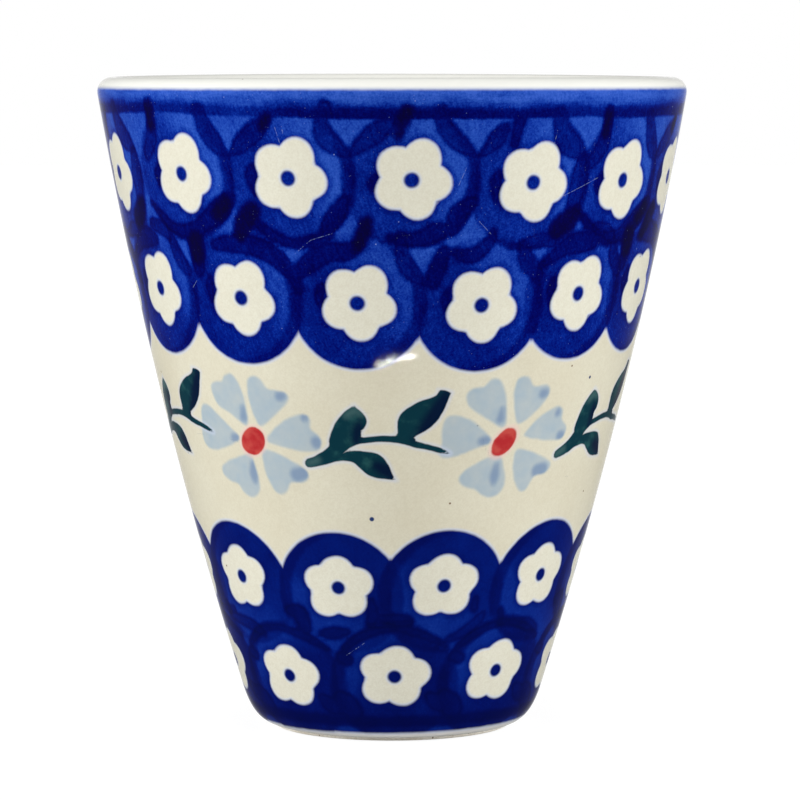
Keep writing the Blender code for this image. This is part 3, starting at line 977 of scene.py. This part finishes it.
class Graph:
    """Short ways to build the nodes of a material or of the world."""

    def __init__(self, owner):
        owner.use_nodes = True
        self.owner = owner
        self.nodes = owner.node_tree.nodes
        self.links = owner.node_tree.links

    @cached_property
    def place(self):
        """Where the point lies on its object."""
        return self.value("TexCoord", {}, "Object")

    def fill(self, node, inputs):
        """Link or set some of a node's inputs."""
        for name, value in inputs.items():
            if isinstance(value, Value):
                self.links.new(value.socket, node.inputs[name])
            else:
                node.inputs[name].default_value = value

    def value(self, kind, inputs, output=0, **settings):
        """One output of a new node."""
        node = self.nodes.new("ShaderNode" + kind)
        for name, setting in settings.items():
            setattr(node, name, setting)
        self.fill(node, inputs)
        return Value(self, node.outputs[output])

    def calc(self, operation, first, second=0.0):
        """One step of arithmetic."""
        return self.value("Math", {0: first, 1: second}, operation=operation)

    def ramp_down(self, value, full, none, high=1.0, low=0.0):
        """High where the value is at or below full, going smoothly to low at none."""
        ends = {"From Min": full, "From Max": none, "To Min": high, "To Max": low}
        return self.value("MapRange", {"Value": value, **ends}, "Result", interpolation_type="SMOOTHSTEP")

    def inside(self, distance, soft):
        """1 inside a painted shape and 0 outside, with a soft edge."""
        return self.ramp_down(distance, -soft, soft)

    def layer(self, name):
        """One of the painting's layers."""
        return self.value("Attribute", {}, "Fac", attribute_name=name)

    def height(self):
        """Millimetres above the table."""
        return self.value("SeparateXYZ", {"Vector": self.place}, "Z") * (1.0 / MM)

    def noise(self, size, detail=2.0, roughness=0.5, turn=(0.0, 0.0, 0.0), longer=None):
        """Noise about 0, between -0.5 and 0.5, with grains of about the given size."""
        place = self.place
        if longer:
            stretch = {"Vector": place, "Rotation": turn, "Scale": longer}
            place = self.value("Mapping", stretch, "Vector", vector_type="TEXTURE")
        grains = {"Vector": place, "Scale": 1.0 / (size * MM), "Detail": detail, "Roughness": roughness}
        return self.value("TexNoise", grains, "Fac") - 0.5

    def specks(self, spacing, radius, share):
        """Small round specks in a share of the cells of a random pattern."""
        cells = {"Vector": self.place, "Scale": 1.0 / (spacing * MM)}
        away = self.value("TexVoronoi", cells, "Distance")
        edge = radius / spacing
        spot = self.ramp_down(away, edge * SPECK_CORE, edge)
        lot = self.value("SeparateColor", {"Color": away.beside("Color")}, "Red")
        return spot * self.calc("LESS_THAN", lot, share)

    def blend(self, share, first, second):
        """Colour that goes from first to second."""
        return self.value("Mix", {0: share, 6: first, 7: second}, 2, data_type="RGBA")

    def coats(self, depth, stops):
        """Colour by depth of paint."""
        colour = self.value("ValToRGB", {"Fac": depth}, "Color")
        elements = colour.socket.node.color_ramp.elements
        for position, _ in stops[2:]:
            elements.new(position)
        for element, (position, stop) in zip(elements, stops):
            element.position = position
            element.color = stop
        return colour

    def bump(self, height, depth):
        """Surface relief: the height runs over about 1 and is this many millimetres deep."""
        normal = self.value("Bump", {"Distance": depth * MM, "Height": height}, "Normal")
        self.fill(self.nodes["Principled BSDF"], {"Normal": normal, "Coat Normal": normal})

    def finish(self, colour, roughness, specular):
        """Set the shader."""
        looks = {"Base Color": colour, "Roughness": roughness, "Specular IOR Level": specular}
        self.fill(self.nodes["Principled BSDF"], looks)
        return self.owner

    def glaze(self, colour, gloss, spread):
        """Set the shader, with a clear coat that takes a little light where it is seen aslant."""
        coat = {"Coat Weight": 1.0, "Coat IOR": COAT_IOR, "Coat Tint": COAT_TINT, "Coat Roughness": gloss}
        self.fill(self.nodes["Principled BSDF"], coat)
        return self.finish(colour, self.noise(**GLOSS_CLOUD) * spread + gloss, GLAZE_SPECULAR)

    def show(self, lighting, shown, output):
        """One shader for the light that is given off, another for what is seen directly."""
        rays = self.value("LightPath", {}, "Is Camera Ray")
        direct = rays.at_least(rays.beside("Is Glossy Ray")).at_least(rays.beside("Is Transmission Ray"))
        surface = self.value("MixShader", {0: direct, 1: lighting, 2: shown})
        self.fill(self.nodes[output], {"Surface": surface})


def deepened(depth, level, share):
    """The depth taken towards a deeper level, and never made paler."""
    return depth + (level - depth).at_least(0.0) * share


def covered(graph, name, wave, soft):
    """1 where a layer of the painting covers the glaze, with a wavering edge."""
    return graph.inside(graph.layer(name) + wave, soft)


def stamped_depth(graph, wave, near_rim, low):
    """Depth of the ground, the discs and the brushed coats, with paint gathered inside their edges."""
    ground = low * LOW_GROUND_EXTRA + GROUND_DEPTH - near_rim * RIM_GROUND_LESS
    in_disc = covered(graph, "disc", wave, DISC_SOFT) * (1.0 - near_rim)
    depth = ground + (graph.layer("depth") - ground) * in_disc
    by_blossom = graph.ramp_down(graph.layer("blossom"), *BESIDE_BLOSSOM)
    depth = deepened(depth, BESIDE_BLOSSOM_DEPTH, by_blossom * BESIDE_BLOSSOM_SHARE)
    depth = depth + covered(graph, "second_disc", wave, DISC_SOFT) * SECOND_DISC_EXTRA
    for coat in COATS:
        painted = covered(graph, coat["layer"], wave, coat["soft"])
        depth = deepened(depth, coat["depth"], painted * coat["share"])
    for name in POOLED_LAYERS:
        from_edge = abs(graph.layer(name) + wave + POOL_INSET)
        depth = depth + graph.ramp_down(from_edge, *POOL_REACH) * POOL_EXTRA
    return depth


def lined_depth(graph, depth, height, wave, past_line):
    """The lines below the rim and above the foot and the dark dabs, over the other coats."""
    rim_line = graph.ramp_down(past_line, *RIM_LINE_EDGE) * graph.ramp_down(past_line, *RIM_LINE_FADE)
    depth = deepened(depth, RIM_LINE_DEPTH, rim_line * graph.layer("rim_pressure"))
    level = height + wave
    foot_line = graph.ramp_down(level, *FOOT_LINE_TOP) * graph.ramp_down(level, *FOOT_LINE_EDGE)
    depth = deepened(depth, FOOT_LINE_DEPTH, foot_line * FOOT_LINE_SHARE)
    return deepened(depth, DARK_DEPTH, covered(graph, "dark", wave, DARK_SOFT) * DARK_SHARE)


def uneven_depth(graph, depth, grain, near_rim, upper):
    """How unevenly the brush left the paint: clouds, mottling, streaks, grain, and brushing at the rim."""
    mottle = graph.noise(**MOTTLE) * MOTTLE_DEPTH
    fine = mottle + graph.noise(**STREAK) * STREAK_DEPTH + grain * GRAIN_DEPTH
    fine = fine * (upper * FINE_UPPER_EXTRA + FINE_EVERYWHERE)
    brushed = graph.noise(**BRUSHED) * near_rim * BRUSHED_DEPTH
    return depth + graph.noise(**BROAD) * BROAD_DEPTH + fine + brushed


def scratches(graph, grain):
    """Broken hairlines along the scratches."""
    beside = abs(graph.layer("across_scratch")) - SCRATCH_HALF_WIDTH
    ends = graph.ramp_down(abs(graph.layer("along_scratch")), *SCRATCH_ENDS)
    broken = graph.ramp_down(grain, *SCRATCH_BREAKS) * ends
    return graph.inside(beside, SCRATCH_SOFT) * broken * SCRATCH_SHARE


def cobalt(graph, height, wave):
    """Colour of the blue fields: coats of paint, and the wear of the glaze over them."""
    grain = graph.noise(**GRAIN)
    past_line = graph.layer("rim_line") + wave
    near_rim = graph.ramp_down(past_line, *NEAR_RIM)
    low = graph.ramp_down(height, *LOWER_PART)
    upper = 1.0 - low
    depth = stamped_depth(graph, wave, near_rim, low)
    depth = lined_depth(graph, depth, height, wave, past_line)
    depth = uneven_depth(graph, depth, grain, near_rim, upper)
    colour = graph.coats(depth, COBALT_COATS)
    colour = graph.blend(low * LOWER_BLUE_SHARE, colour, LOWER_BLUE)
    colour = graph.blend(covered(graph, "dark", wave, DARK_SOFT) * BROWN_SHARE, colour, BROWN_BLUE)
    colour = graph.blend(scratches(graph, grain), colour, PINHOLE_AND_SPARKLE)
    # Pale specks of dust and pinholes in the upper fields, partly painted sparkle
    sparkle_patches = graph.ramp_down(graph.noise(**SPARKLE_DUST_PATCHES), *SPARKLE_DUST_RANGE)
    dust_and_sparkle = graph.specks(**DUST_AND_SPARKLE) * (sparkle_patches * upper)
    colour = graph.blend(dust_and_sparkle * DUST_AND_SPARKLE_SHARE, colour, PINHOLE_AND_SPARKLE)
    return graph.blend(graph.specks(**PITS_AND_SPARKLE) * (upper * PITS_AND_SPARKLE_SHARE), colour, PINHOLE_AND_SPARKLE)


def cream_ground(graph, height):
    """Colour of the bare glaze: warm cream with a sandy grain, whiter in the blossoms, with a few
    specks of iron and ink, and painted light that whitens the top of the lip and the foot."""
    cloud = graph.ramp_down(graph.noise(**CREAM_CLOUD), *CREAM_RANGE)
    colour = graph.blend(cloud, CREAM_WARM, CREAM_PALE)
    in_blossom = graph.inside(graph.layer("blossom"), BLOSSOM_SOFT)
    colour = graph.blend(in_blossom * BLOSSOM_SHARE, colour, CREAM_BLOSSOM)
    sand = graph.noise(**FINE_SAND) + graph.noise(**COARSE_SAND) * COARSE_SAND_SHARE
    colour = graph.blend(graph.ramp_down(sand, *SAND_RANGE) * SAND_SHARE, colour, CREAM_SAND)
    # Painted light on the lip: its upturned top whitened as if lit from above
    colour = graph.blend(graph.ramp_down(height, *LIP_LIGHT_FADE), colour, LIP_PAINTED_LIGHT)
    # Painted light at the foot: the glaze whitened where light from the floor falls under the corner
    colour = graph.blend(graph.ramp_down(height, *FOOT_LIGHT_FADE), colour, FOOT_PAINTED_LIGHT)
    colour = graph.blend(graph.specks(**IRON_SPECKS), colour, IRON_SPECK)
    return graph.blend(graph.specks(**INK_SPECKS), colour, INK_SPECK)


def garland_colours(graph, colour, wave):
    """Flowers and sprigs over the cream ground."""
    leaf = graph.layer("leaf")
    heart = graph.layer("heart")
    cloud = graph.noise(**GARLAND_CLOUD)
    petal_edge = graph.layer("petal") + wave * PETAL_WAVE
    wash = graph.inside(petal_edge, PETAL_SOFT) * (cloud * WASH_CLOUD + WASH_SHARE)
    colour = graph.blend(wash, colour, PETAL_WASH)
    dab = graph.inside(graph.layer("petal_dab"), DAB_SOFT) * graph.inside(petal_edge, DAB_END_SOFT)
    colour = graph.blend(dab * DAB_SHARE, colour, PETAL_DAB)
    colour = graph.blend(graph.ramp_down(heart, *GARLAND_HALO) * HEART_HALO_SHARE, colour, HEART_HALO)
    heart_colour = graph.blend(graph.ramp_down(cloud, *HEART_RANGE), HEART_PALE, HEART_DEEP)
    colour = graph.blend(graph.inside(heart + wave * HEART_WAVE, HEART_SOFT), colour, heart_colour)
    colour = graph.blend(graph.ramp_down(leaf, *GARLAND_HALO) * LEAF_HALO_SHARE, colour, HALO)
    leaf_colour = graph.blend(graph.ramp_down(cloud, *LEAF_RANGE), LEAF_GREEN, LEAF_TEAL)
    leaf_colour = graph.blend(graph.inside(graph.layer("navy"), NAVY_SOFT), leaf_colour, LEAF_NAVY)
    leaf_colour = graph.blend(graph.inside(graph.layer("thin_leaf"), THIN_SOFT), leaf_colour, LEAF_THIN)
    return graph.blend(graph.inside(leaf + wave * LEAF_WAVE, LEAF_SOFT), colour, leaf_colour)


def past_dot(graph):
    """How far a point lies past the nearest dot's edge, in that dot's radii."""
    across = graph.layer("dot_across")
    up = graph.layer("dot_up")
    return graph.calc("SQRT", across * across + up * up) - 1.0


def painted_glaze():
    """Cobalt stamps and a garland under clear glaze."""
    graph = Graph(bpy.data.materials.new("painted_glaze_look"))
    blossom = graph.layer("blossom")
    field = graph.layer("field")
    dot = past_dot(graph)
    height = graph.height()
    wave = graph.noise(**WAVE) * WAVE_DEPTH
    stamp_wave = wave * STAMP_WAVE
    dot_edge = dot + stamp_wave
    colour = garland_colours(graph, cream_ground(graph, height), wave)
    from_blue = field.at_least((blossom * -1.0).at_most(dot))
    colour = graph.blend(graph.ramp_down(from_blue, *FIELD_HALO) * FIELD_HALO_SHARE, colour, HALO)
    blue = 1.0 - graph.inside(blossom + stamp_wave, STAMP_SOFT)
    blue = blue.at_least(graph.inside(dot_edge, STAMP_SOFT))
    blue = blue * graph.inside(field + stamp_wave, STAMP_SOFT)
    colour = graph.blend(graph.inside(dot_edge, DOT_SOFT), colour, INK_SPECK)
    colour = graph.blend(blue, colour, cobalt(graph, height, wave))
    graph.bump(graph.noise(**GLAZE_RIPPLE) + graph.noise(**FINE_RIPPLE) * FINE_RIPPLE_SHARE, GLAZE_RELIEF)
    return graph.glaze(colour, *PAINTED_GLOSS)


def liner_glaze():
    """Cream liner: a little warmer and darker towards the floor, with iron specks."""
    graph = Graph(bpy.data.materials.new("liner_glaze_look"))
    low = graph.ramp_down(graph.height(), *LINER_FLOOR_FADE)
    towards_floor = low * LINER_FLOOR_SHARE + graph.noise(**LINER_CLOUD) * LINER_CLOUD_SHARE + LINER_WARMTH
    colour = graph.blend(graph.ramp_down(towards_floor, *LINER_RANGE), LINER_PALE, LINER_WARM)
    colour = graph.blend(graph.specks(**LINER_SPECKS), colour, IRON_SPECK)
    graph.bump(graph.noise(**LINER_RIPPLE), LINER_RELIEF)
    return graph.glaze(colour, *LINER_GLOSS)


def recess_glaze():
    """Thin, slightly starved glaze under the base."""
    graph = Graph(bpy.data.materials.new("recess_glaze_look"))
    thin = graph.ramp_down(graph.noise(**RECESS_CLOUD), *RECESS_RANGE)
    colour = graph.blend(thin, LINER_WARM, CREAM_PALE)
    colour = graph.blend(graph.specks(**RECESS_SPECKS), colour, IRON_SPECK)
    graph.bump(graph.noise(**RECESS_RIPPLE), RECESS_RELIEF)
    return graph.glaze(colour, *RECESS_GLOSS)


def bare_clay():
    """Fired stoneware of the foot ring: sandy, with grit and turning marks."""
    graph = Graph(bpy.data.materials.new("bare_stoneware_look"))
    sand = graph.noise(**CLAY_SAND)
    share = graph.ramp_down(sand + graph.noise(**CLAY_CLOUD) * CLAY_CLOUD_SHARE, *CLAY_RANGE)
    colour = graph.blend(share, CLAY_DARK, CLAY_PALE)
    colour = graph.blend(graph.specks(**CLAY_GRIT), colour, IRON_SPECK)
    graph.bump(sand + graph.noise(**CLAY_MARKS), CLAY_RELIEF)
    roughness, spread = CLAY_ROUGHNESS
    return graph.finish(colour, sand * spread + roughness, CLAY_SPECULAR)


def dress(piece, material, node):
    """Give a piece its material, hang it under the root, and hide the solid it stands for."""
    piece.data.materials.append(material)
    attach(piece, "root")
    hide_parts(node)


# Layout of the painted shell's bake map
BAKE_MARGIN = 0.01
BAKE_WIDTH = 0.80  # share of the bake map's width that the visible side takes


def lay_out_bake_map(mesh, section, visible, segments):
    """Front and back half of the visible side one above the other, and the hidden side beside them."""
    rings = len(section)
    half = segments // 2
    travel = np.linalg.norm(np.diff(section[:visible], axis=0), axis=1)
    seen_level = np.concatenate([[0.0], np.cumsum(travel)]) / travel.sum()
    hidden_level = (np.arange(rings + 1) - visible + 1) / (rings - visible + 1)
    ring = np.repeat(np.arange(rings), segments)
    step = np.tile(np.arange(segments), rings)
    seen = ring < visible - 1
    low = np.where(seen, seen_level[np.minimum(ring, visible - 1)], hidden_level[ring])
    high = np.where(seen, seen_level[np.minimum(ring + 1, visible - 1)], hidden_level[ring + 1])
    left = np.where(seen, 0.0, BAKE_WIDTH) + BAKE_MARGIN
    width = np.where(seen, BAKE_WIDTH, 1.0 - BAKE_WIDTH) - 2 * BAKE_MARGIN
    base = np.where(step < half, 0.0, 0.5) + BAKE_MARGIN
    tall = 0.5 - 2 * BAKE_MARGIN
    start = left + width * (step % half) / half
    end = left + width * (step % half + 1) / half
    bottom = base + tall * low
    top = base + tall * high
    corners = np.stack([start, bottom, end, bottom, end, top, start, top], axis=-1)
    mesh.uv_layers.new(name="OFBake").data.foreach_set("uv", corners.ravel().astype(np.float32))


def build_painted_shell():
    """Outer glaze with its painting."""
    outside = outside_line()
    hidden = thinned(offset_line(outside, GLAZE_DEPTH)[::-1], HIDDEN_STRIDE)
    section = np.concatenate([outside, hidden])
    piece = turned_piece("painted_shell", section, PAINTED_SEGMENTS, loop=True)
    crest = int(np.argmax(outside[:, 1]))
    unrolled = outside[:, 1].copy()
    unrolled[crest:] = 2 * HEIGHT - unrolled[crest:]
    unrolled = np.concatenate([unrolled, np.full(len(hidden), 2 * HEIGHT)])
    angle, _, _ = turned_grid(section, PAINTED_SEGMENTS)
    painting = Painting(angle, np.repeat(unrolled, PAINTED_SEGMENTS))
    painting.paint()
    painting.keep_on(piece.data)
    lay_out_bake_map(piece.data, section, len(outside), PAINTED_SEGMENTS)
    dress(piece, painted_glaze(), "outer_glaze")


def build_liner():
    """Inner glaze, with the faint rings left by the thrower's fingers."""
    lining = inside_line()
    lining[:, 1] = np.where(np.arange(len(lining)) == 0, lining[:, 1] - SEAM, lining[:, 1])
    fade = np.clip((lining[:, 0] - THROWN_FROM) / THROWN_FADE, 0.0, 1.0)
    fade *= np.clip((THROWN_BELOW - lining[:, 1]) / THROWN_FADE, 0.0, 1.0)
    lining[:, 0] += THROWING_RING * fade * np.sin(2 * math.pi * lining[:, 1] / THROWING_PITCH)
    hidden = thinned(offset_line(inside_line(), GLAZE_DEPTH)[::-1], HIDDEN_STRIDE)
    hidden[0, 0] = 0.0
    piece = turned_piece("poured_liner", np.concatenate([hidden, lining]), PLAIN_SEGMENTS, loop=False)
    dress(piece, liner_glaze(), "inner_glaze")


def recess_corner():
    """Inner radius of the foot ring, and the middle of the recess's rounded corner."""
    ring_inner = FOOT_RADIUS - RING_GAP - FOOT_RING_WIDTH
    return ring_inner, (ring_inner - RECESS_FILLET, RECESS_DEPTH - RECESS_FILLET)


def build_clay():
    """Clay body: the wall under the glazes, the bare foot ring and the recess."""
    clay_depth = GLAZE_DEPTH + SEAM
    outer = thinned(offset_line(outside_line(), clay_depth), HIDDEN_STRIDE // 2)
    inner = thinned(offset_line(inside_line(), clay_depth), HIDDEN_STRIDE // 2)
    inner[-1, 0] = 0.0
    ring_outer = FOOT_RADIUS - SEAM
    ring_inner, middle = recess_corner()
    recess = arc(middle, RECESS_FILLET, math.pi / 2, 0.0, RECESS_RINGS)
    inner_edge = (ring_inner + FOOT_CHAMFER, FOOT_CHAMFER)
    ring_in = arc(inner_edge, FOOT_CHAMFER, math.pi, 1.5 * math.pi, CHAMFER_RINGS)
    outer_edge = (ring_outer - FOOT_CHAMFER, FOOT_CHAMFER)
    ring_out = arc(outer_edge, FOOT_CHAMFER, 1.5 * math.pi, 2 * math.pi, CHAMFER_RINGS)
    ceiling = np.array([[0.0, RECESS_DEPTH]])
    shoulder = np.array([[ring_outer, outer[0, 1]]])
    section = np.concatenate([ceiling, recess, ring_in, ring_out, shoulder, outer, inner[1:]])
    piece = turned_piece("clay_body", section, PLAIN_SEGMENTS, loop=False)
    dress(piece, bare_clay(), "stoneware_body")


def build_recess():
    """Thin glaze in the recess under the base."""
    _, middle = recess_corner()
    flat = np.linspace((0.0, RECESS_DEPTH), (middle[0], RECESS_DEPTH), CEILING_RINGS)
    curve = arc(middle, RECESS_FILLET, math.pi / 2, 0.0, FILLET_RINGS)
    upper = np.concatenate([flat, curve[1:]])
    lower = offset_line(upper, -GLAZE_DEPTH)
    lower[0, 0] = 0.0
    upper = offset_line(upper, -SEAM)
    upper[0, 0] = 0.0
    piece = turned_piece("recess_coat", np.concatenate([lower, upper[::-1]]), PLAIN_SEGMENTS, loop=False)
    dress(piece, recess_glaze(), "base_glaze")


# Camera, as fitted to the photograph's outline of the mug: its place is in metres, its angles in radians
IMAGE_WIDTH = 800.0
SENSOR_WIDTH = 36.0
CLIP_START = 0.01
CLIP_END = 50.0
FOCAL_PIXELS = 4158.8
CAMERA_PLACE = (0.0, -0.640, 0.10467)
CAMERA_PITCH = 0.085
CAMERA_YAW = 0.00195


def set_camera():
    """Camera at the photograph's viewing angle."""
    lens = bpy.data.cameras.new("camera")
    lens.sensor_width = SENSOR_WIDTH
    lens.lens = SENSOR_WIDTH * FOCAL_PIXELS / IMAGE_WIDTH
    lens.clip_start = CLIP_START
    lens.clip_end = CLIP_END
    camera = bpy.data.objects.new("camera", lens)
    camera.location = CAMERA_PLACE
    camera.rotation_euler = (math.pi / 2 - CAMERA_PITCH, 0.0, -CAMERA_YAW)
    bpy.context.scene.collection.objects.link(camera)
    bpy.context.scene.camera = camera


def add_softbox(name, place, aim, size, radiance):
    """Rectangular lamp that shows only by its light."""
    lamp = bpy.data.lights.new(name, "AREA")
    lamp.shape = "RECTANGLE"
    lamp.size, lamp.size_y = size
    lamp.energy = math.pi * size[0] * size[1] * radiance
    softbox = bpy.data.objects.new(name, lamp)
    softbox.location = place
    softbox.rotation_euler = (Vector(aim) - Vector(place)).to_track_quat("-Z", "Y").to_euler()
    softbox.visible_camera = False
    bpy.context.scene.collection.objects.link(softbox)
    return softbox


# Lamps, surroundings and floor: all but the strands of the glint are in metres and degrees
AIM = (0.0, 0.0, 0.05)
SIDE_DISTANCE = 0.95
SIDE_AZIMUTH = 78.0
SIDE_HEIGHT = 0.34
SIDE_SIZE = (0.50, 0.60)
LEFT_RADIANCE = 7.6
RIGHT_RADIANCE = 6.8
TOP_PLACE = (0.0, -0.45, 0.9)
TOP_SIZE = (0.8, 0.8)
TOP_RADIANCE = 1.35
GLINT_STRANDS = [  # angle and height of both ends of each strand of the glint on the wall
    ((-4.35, 58.12), (-2.87, 58.94)),
    ((-3.45, 58.12), (-1.87, 59.24)),
    ((-2.44, 58.27), (-0.86, 59.49)),
    ((-1.31, 58.87), (0.47, 59.69)),
    ((-0.2, 58.94), (1.8, 59.61)),
    ((1.13, 59.09), (3.35, 59.68)),
    ((2.24, 59.19), (4.46, 59.75)),
    ((3.57, 59.46), (5.45, 59.92)),
]
GLINT_DISTANCE = 0.024
GLINT_THICKNESS = 0.0003
GLINT_SPREAD = 60.0
GLINT_RADIANCE = 650.0
AMBIENT = 0.42
WHITE = (1.0, 1.0, 1.0, 1.0)
FLOOR_HALF = 3.0
FLOOR_LEVEL = -0.00005
FLOOR_BOUNCE = (0.92, 0.92, 0.92, 1.0)
FLOOR_SHADE = (0.12, 0.12, 0.12, 1.0)
FLOOR_GLOW_NEAR = 0.93
FLOOR_GLOW_FAR = 1.0
FLOOR_FADE = (0.15, 0.70)


def mirrored_place(angle, height):
    """A place on the wall, and the point near it that the camera sees mirrored there."""
    turn = math.radians(angle)
    radius = wall_radius(height)
    spot = Vector((radius * math.sin(turn), -radius * math.cos(turn), height)) * MM
    outward = Vector((math.sin(turn), -math.cos(turn), -wall_slope(height))).normalized()
    view = (Vector(CAMERA_PLACE) - spot).normalized()
    return spot, spot + GLINT_DISTANCE * (2 * outward.dot(view) * outward - view)


def add_glint(index, start, end):
    """Small strip lamp that the glaze mirrors as one strand of the glint."""
    first_spot, first = mirrored_place(*start)
    second_spot, second = mirrored_place(*end)
    middle = (first + second) / 2
    aim = (first_spot + second_spot) / 2
    size = ((second - first).length, GLINT_THICKNESS)
    strip = add_softbox(f"glint_strip_{index}", middle, aim, size, GLINT_RADIANCE)
    away = (middle - aim).normalized()
    across = away.cross(second - first).normalized()
    strip.rotation_euler = Matrix((across.cross(away), across, away)).transposed().to_euler()
    strip.data.spread = math.radians(GLINT_SPREAD)
    strip.visible_diffuse = False


def set_lights():
    """Two side softboxes, one overhead, and small strips whose reflection is the glint on the glaze."""
    turn = math.radians(SIDE_AZIMUTH)
    for name, side, radiance in (("left", -1.0, LEFT_RADIANCE), ("right", 1.0, RIGHT_RADIANCE)):
        place = (side * SIDE_DISTANCE * math.sin(turn), -SIDE_DISTANCE * math.cos(turn), SIDE_HEIGHT)
        add_softbox(name + "_softbox", place, AIM, SIDE_SIZE, radiance)
    add_softbox("top_softbox", TOP_PLACE, AIM, TOP_SIZE, TOP_RADIANCE)
    for index, (start, end) in enumerate(GLINT_STRANDS):
        add_glint(index, start, end)


def set_world():
    """White surroundings to look at, and a dimmer even light on the mug."""
    world = bpy.data.worlds.new("studio")
    bpy.context.scene.world = world
    graph = Graph(world)
    dim = graph.value("Background", {"Color": WHITE, "Strength": AMBIENT})
    white = graph.value("Background", {"Color": WHITE, "Strength": 1.0})
    graph.nodes.remove(graph.nodes["Background"])
    graph.show(dim, white, "World Output")


def white_floor():
    """White that is a little less near the mug, where the floor's own light and shadow are added."""
    graph = Graph(bpy.data.materials.new("white_floor"))
    graph.nodes.remove(graph.nodes["Principled BSDF"])
    away = graph.value("VectorMath", {0: graph.place}, "Value", operation="LENGTH")
    glow = graph.ramp_down(away, *FLOOR_FADE, FLOOR_GLOW_NEAR, FLOOR_GLOW_FAR)
    bounce = graph.value("BsdfDiffuse", {"Color": FLOOR_BOUNCE})
    shade = graph.value("BsdfDiffuse", {"Color": FLOOR_SHADE})
    shown = graph.value("AddShader", {0: shade, 1: graph.value("Emission", {"Strength": glow})})
    graph.show(bounce, shown, "Material Output")
    return graph.owner


def set_floor():
    """Plain white floor that keeps the mug's soft shadow."""
    mesh = bpy.data.meshes.new("floor")
    corners = [(-1, -1), (1, -1), (1, 1), (-1, 1)]
    mesh.from_pydata([(FLOOR_HALF * x, FLOOR_HALF * y, FLOOR_LEVEL) for x, y in corners], [], [(0, 1, 2, 3)])
    mesh.materials.append(white_floor())
    floor = bpy.data.objects.new("floor", mesh)
    bpy.context.scene.collection.objects.link(floor)


bpy.context.scene.view_settings.view_transform = "Standard"
build_painted_shell()
build_liner()
build_clay()
build_recess()
set_camera()
set_lights()
set_world()
set_floor()
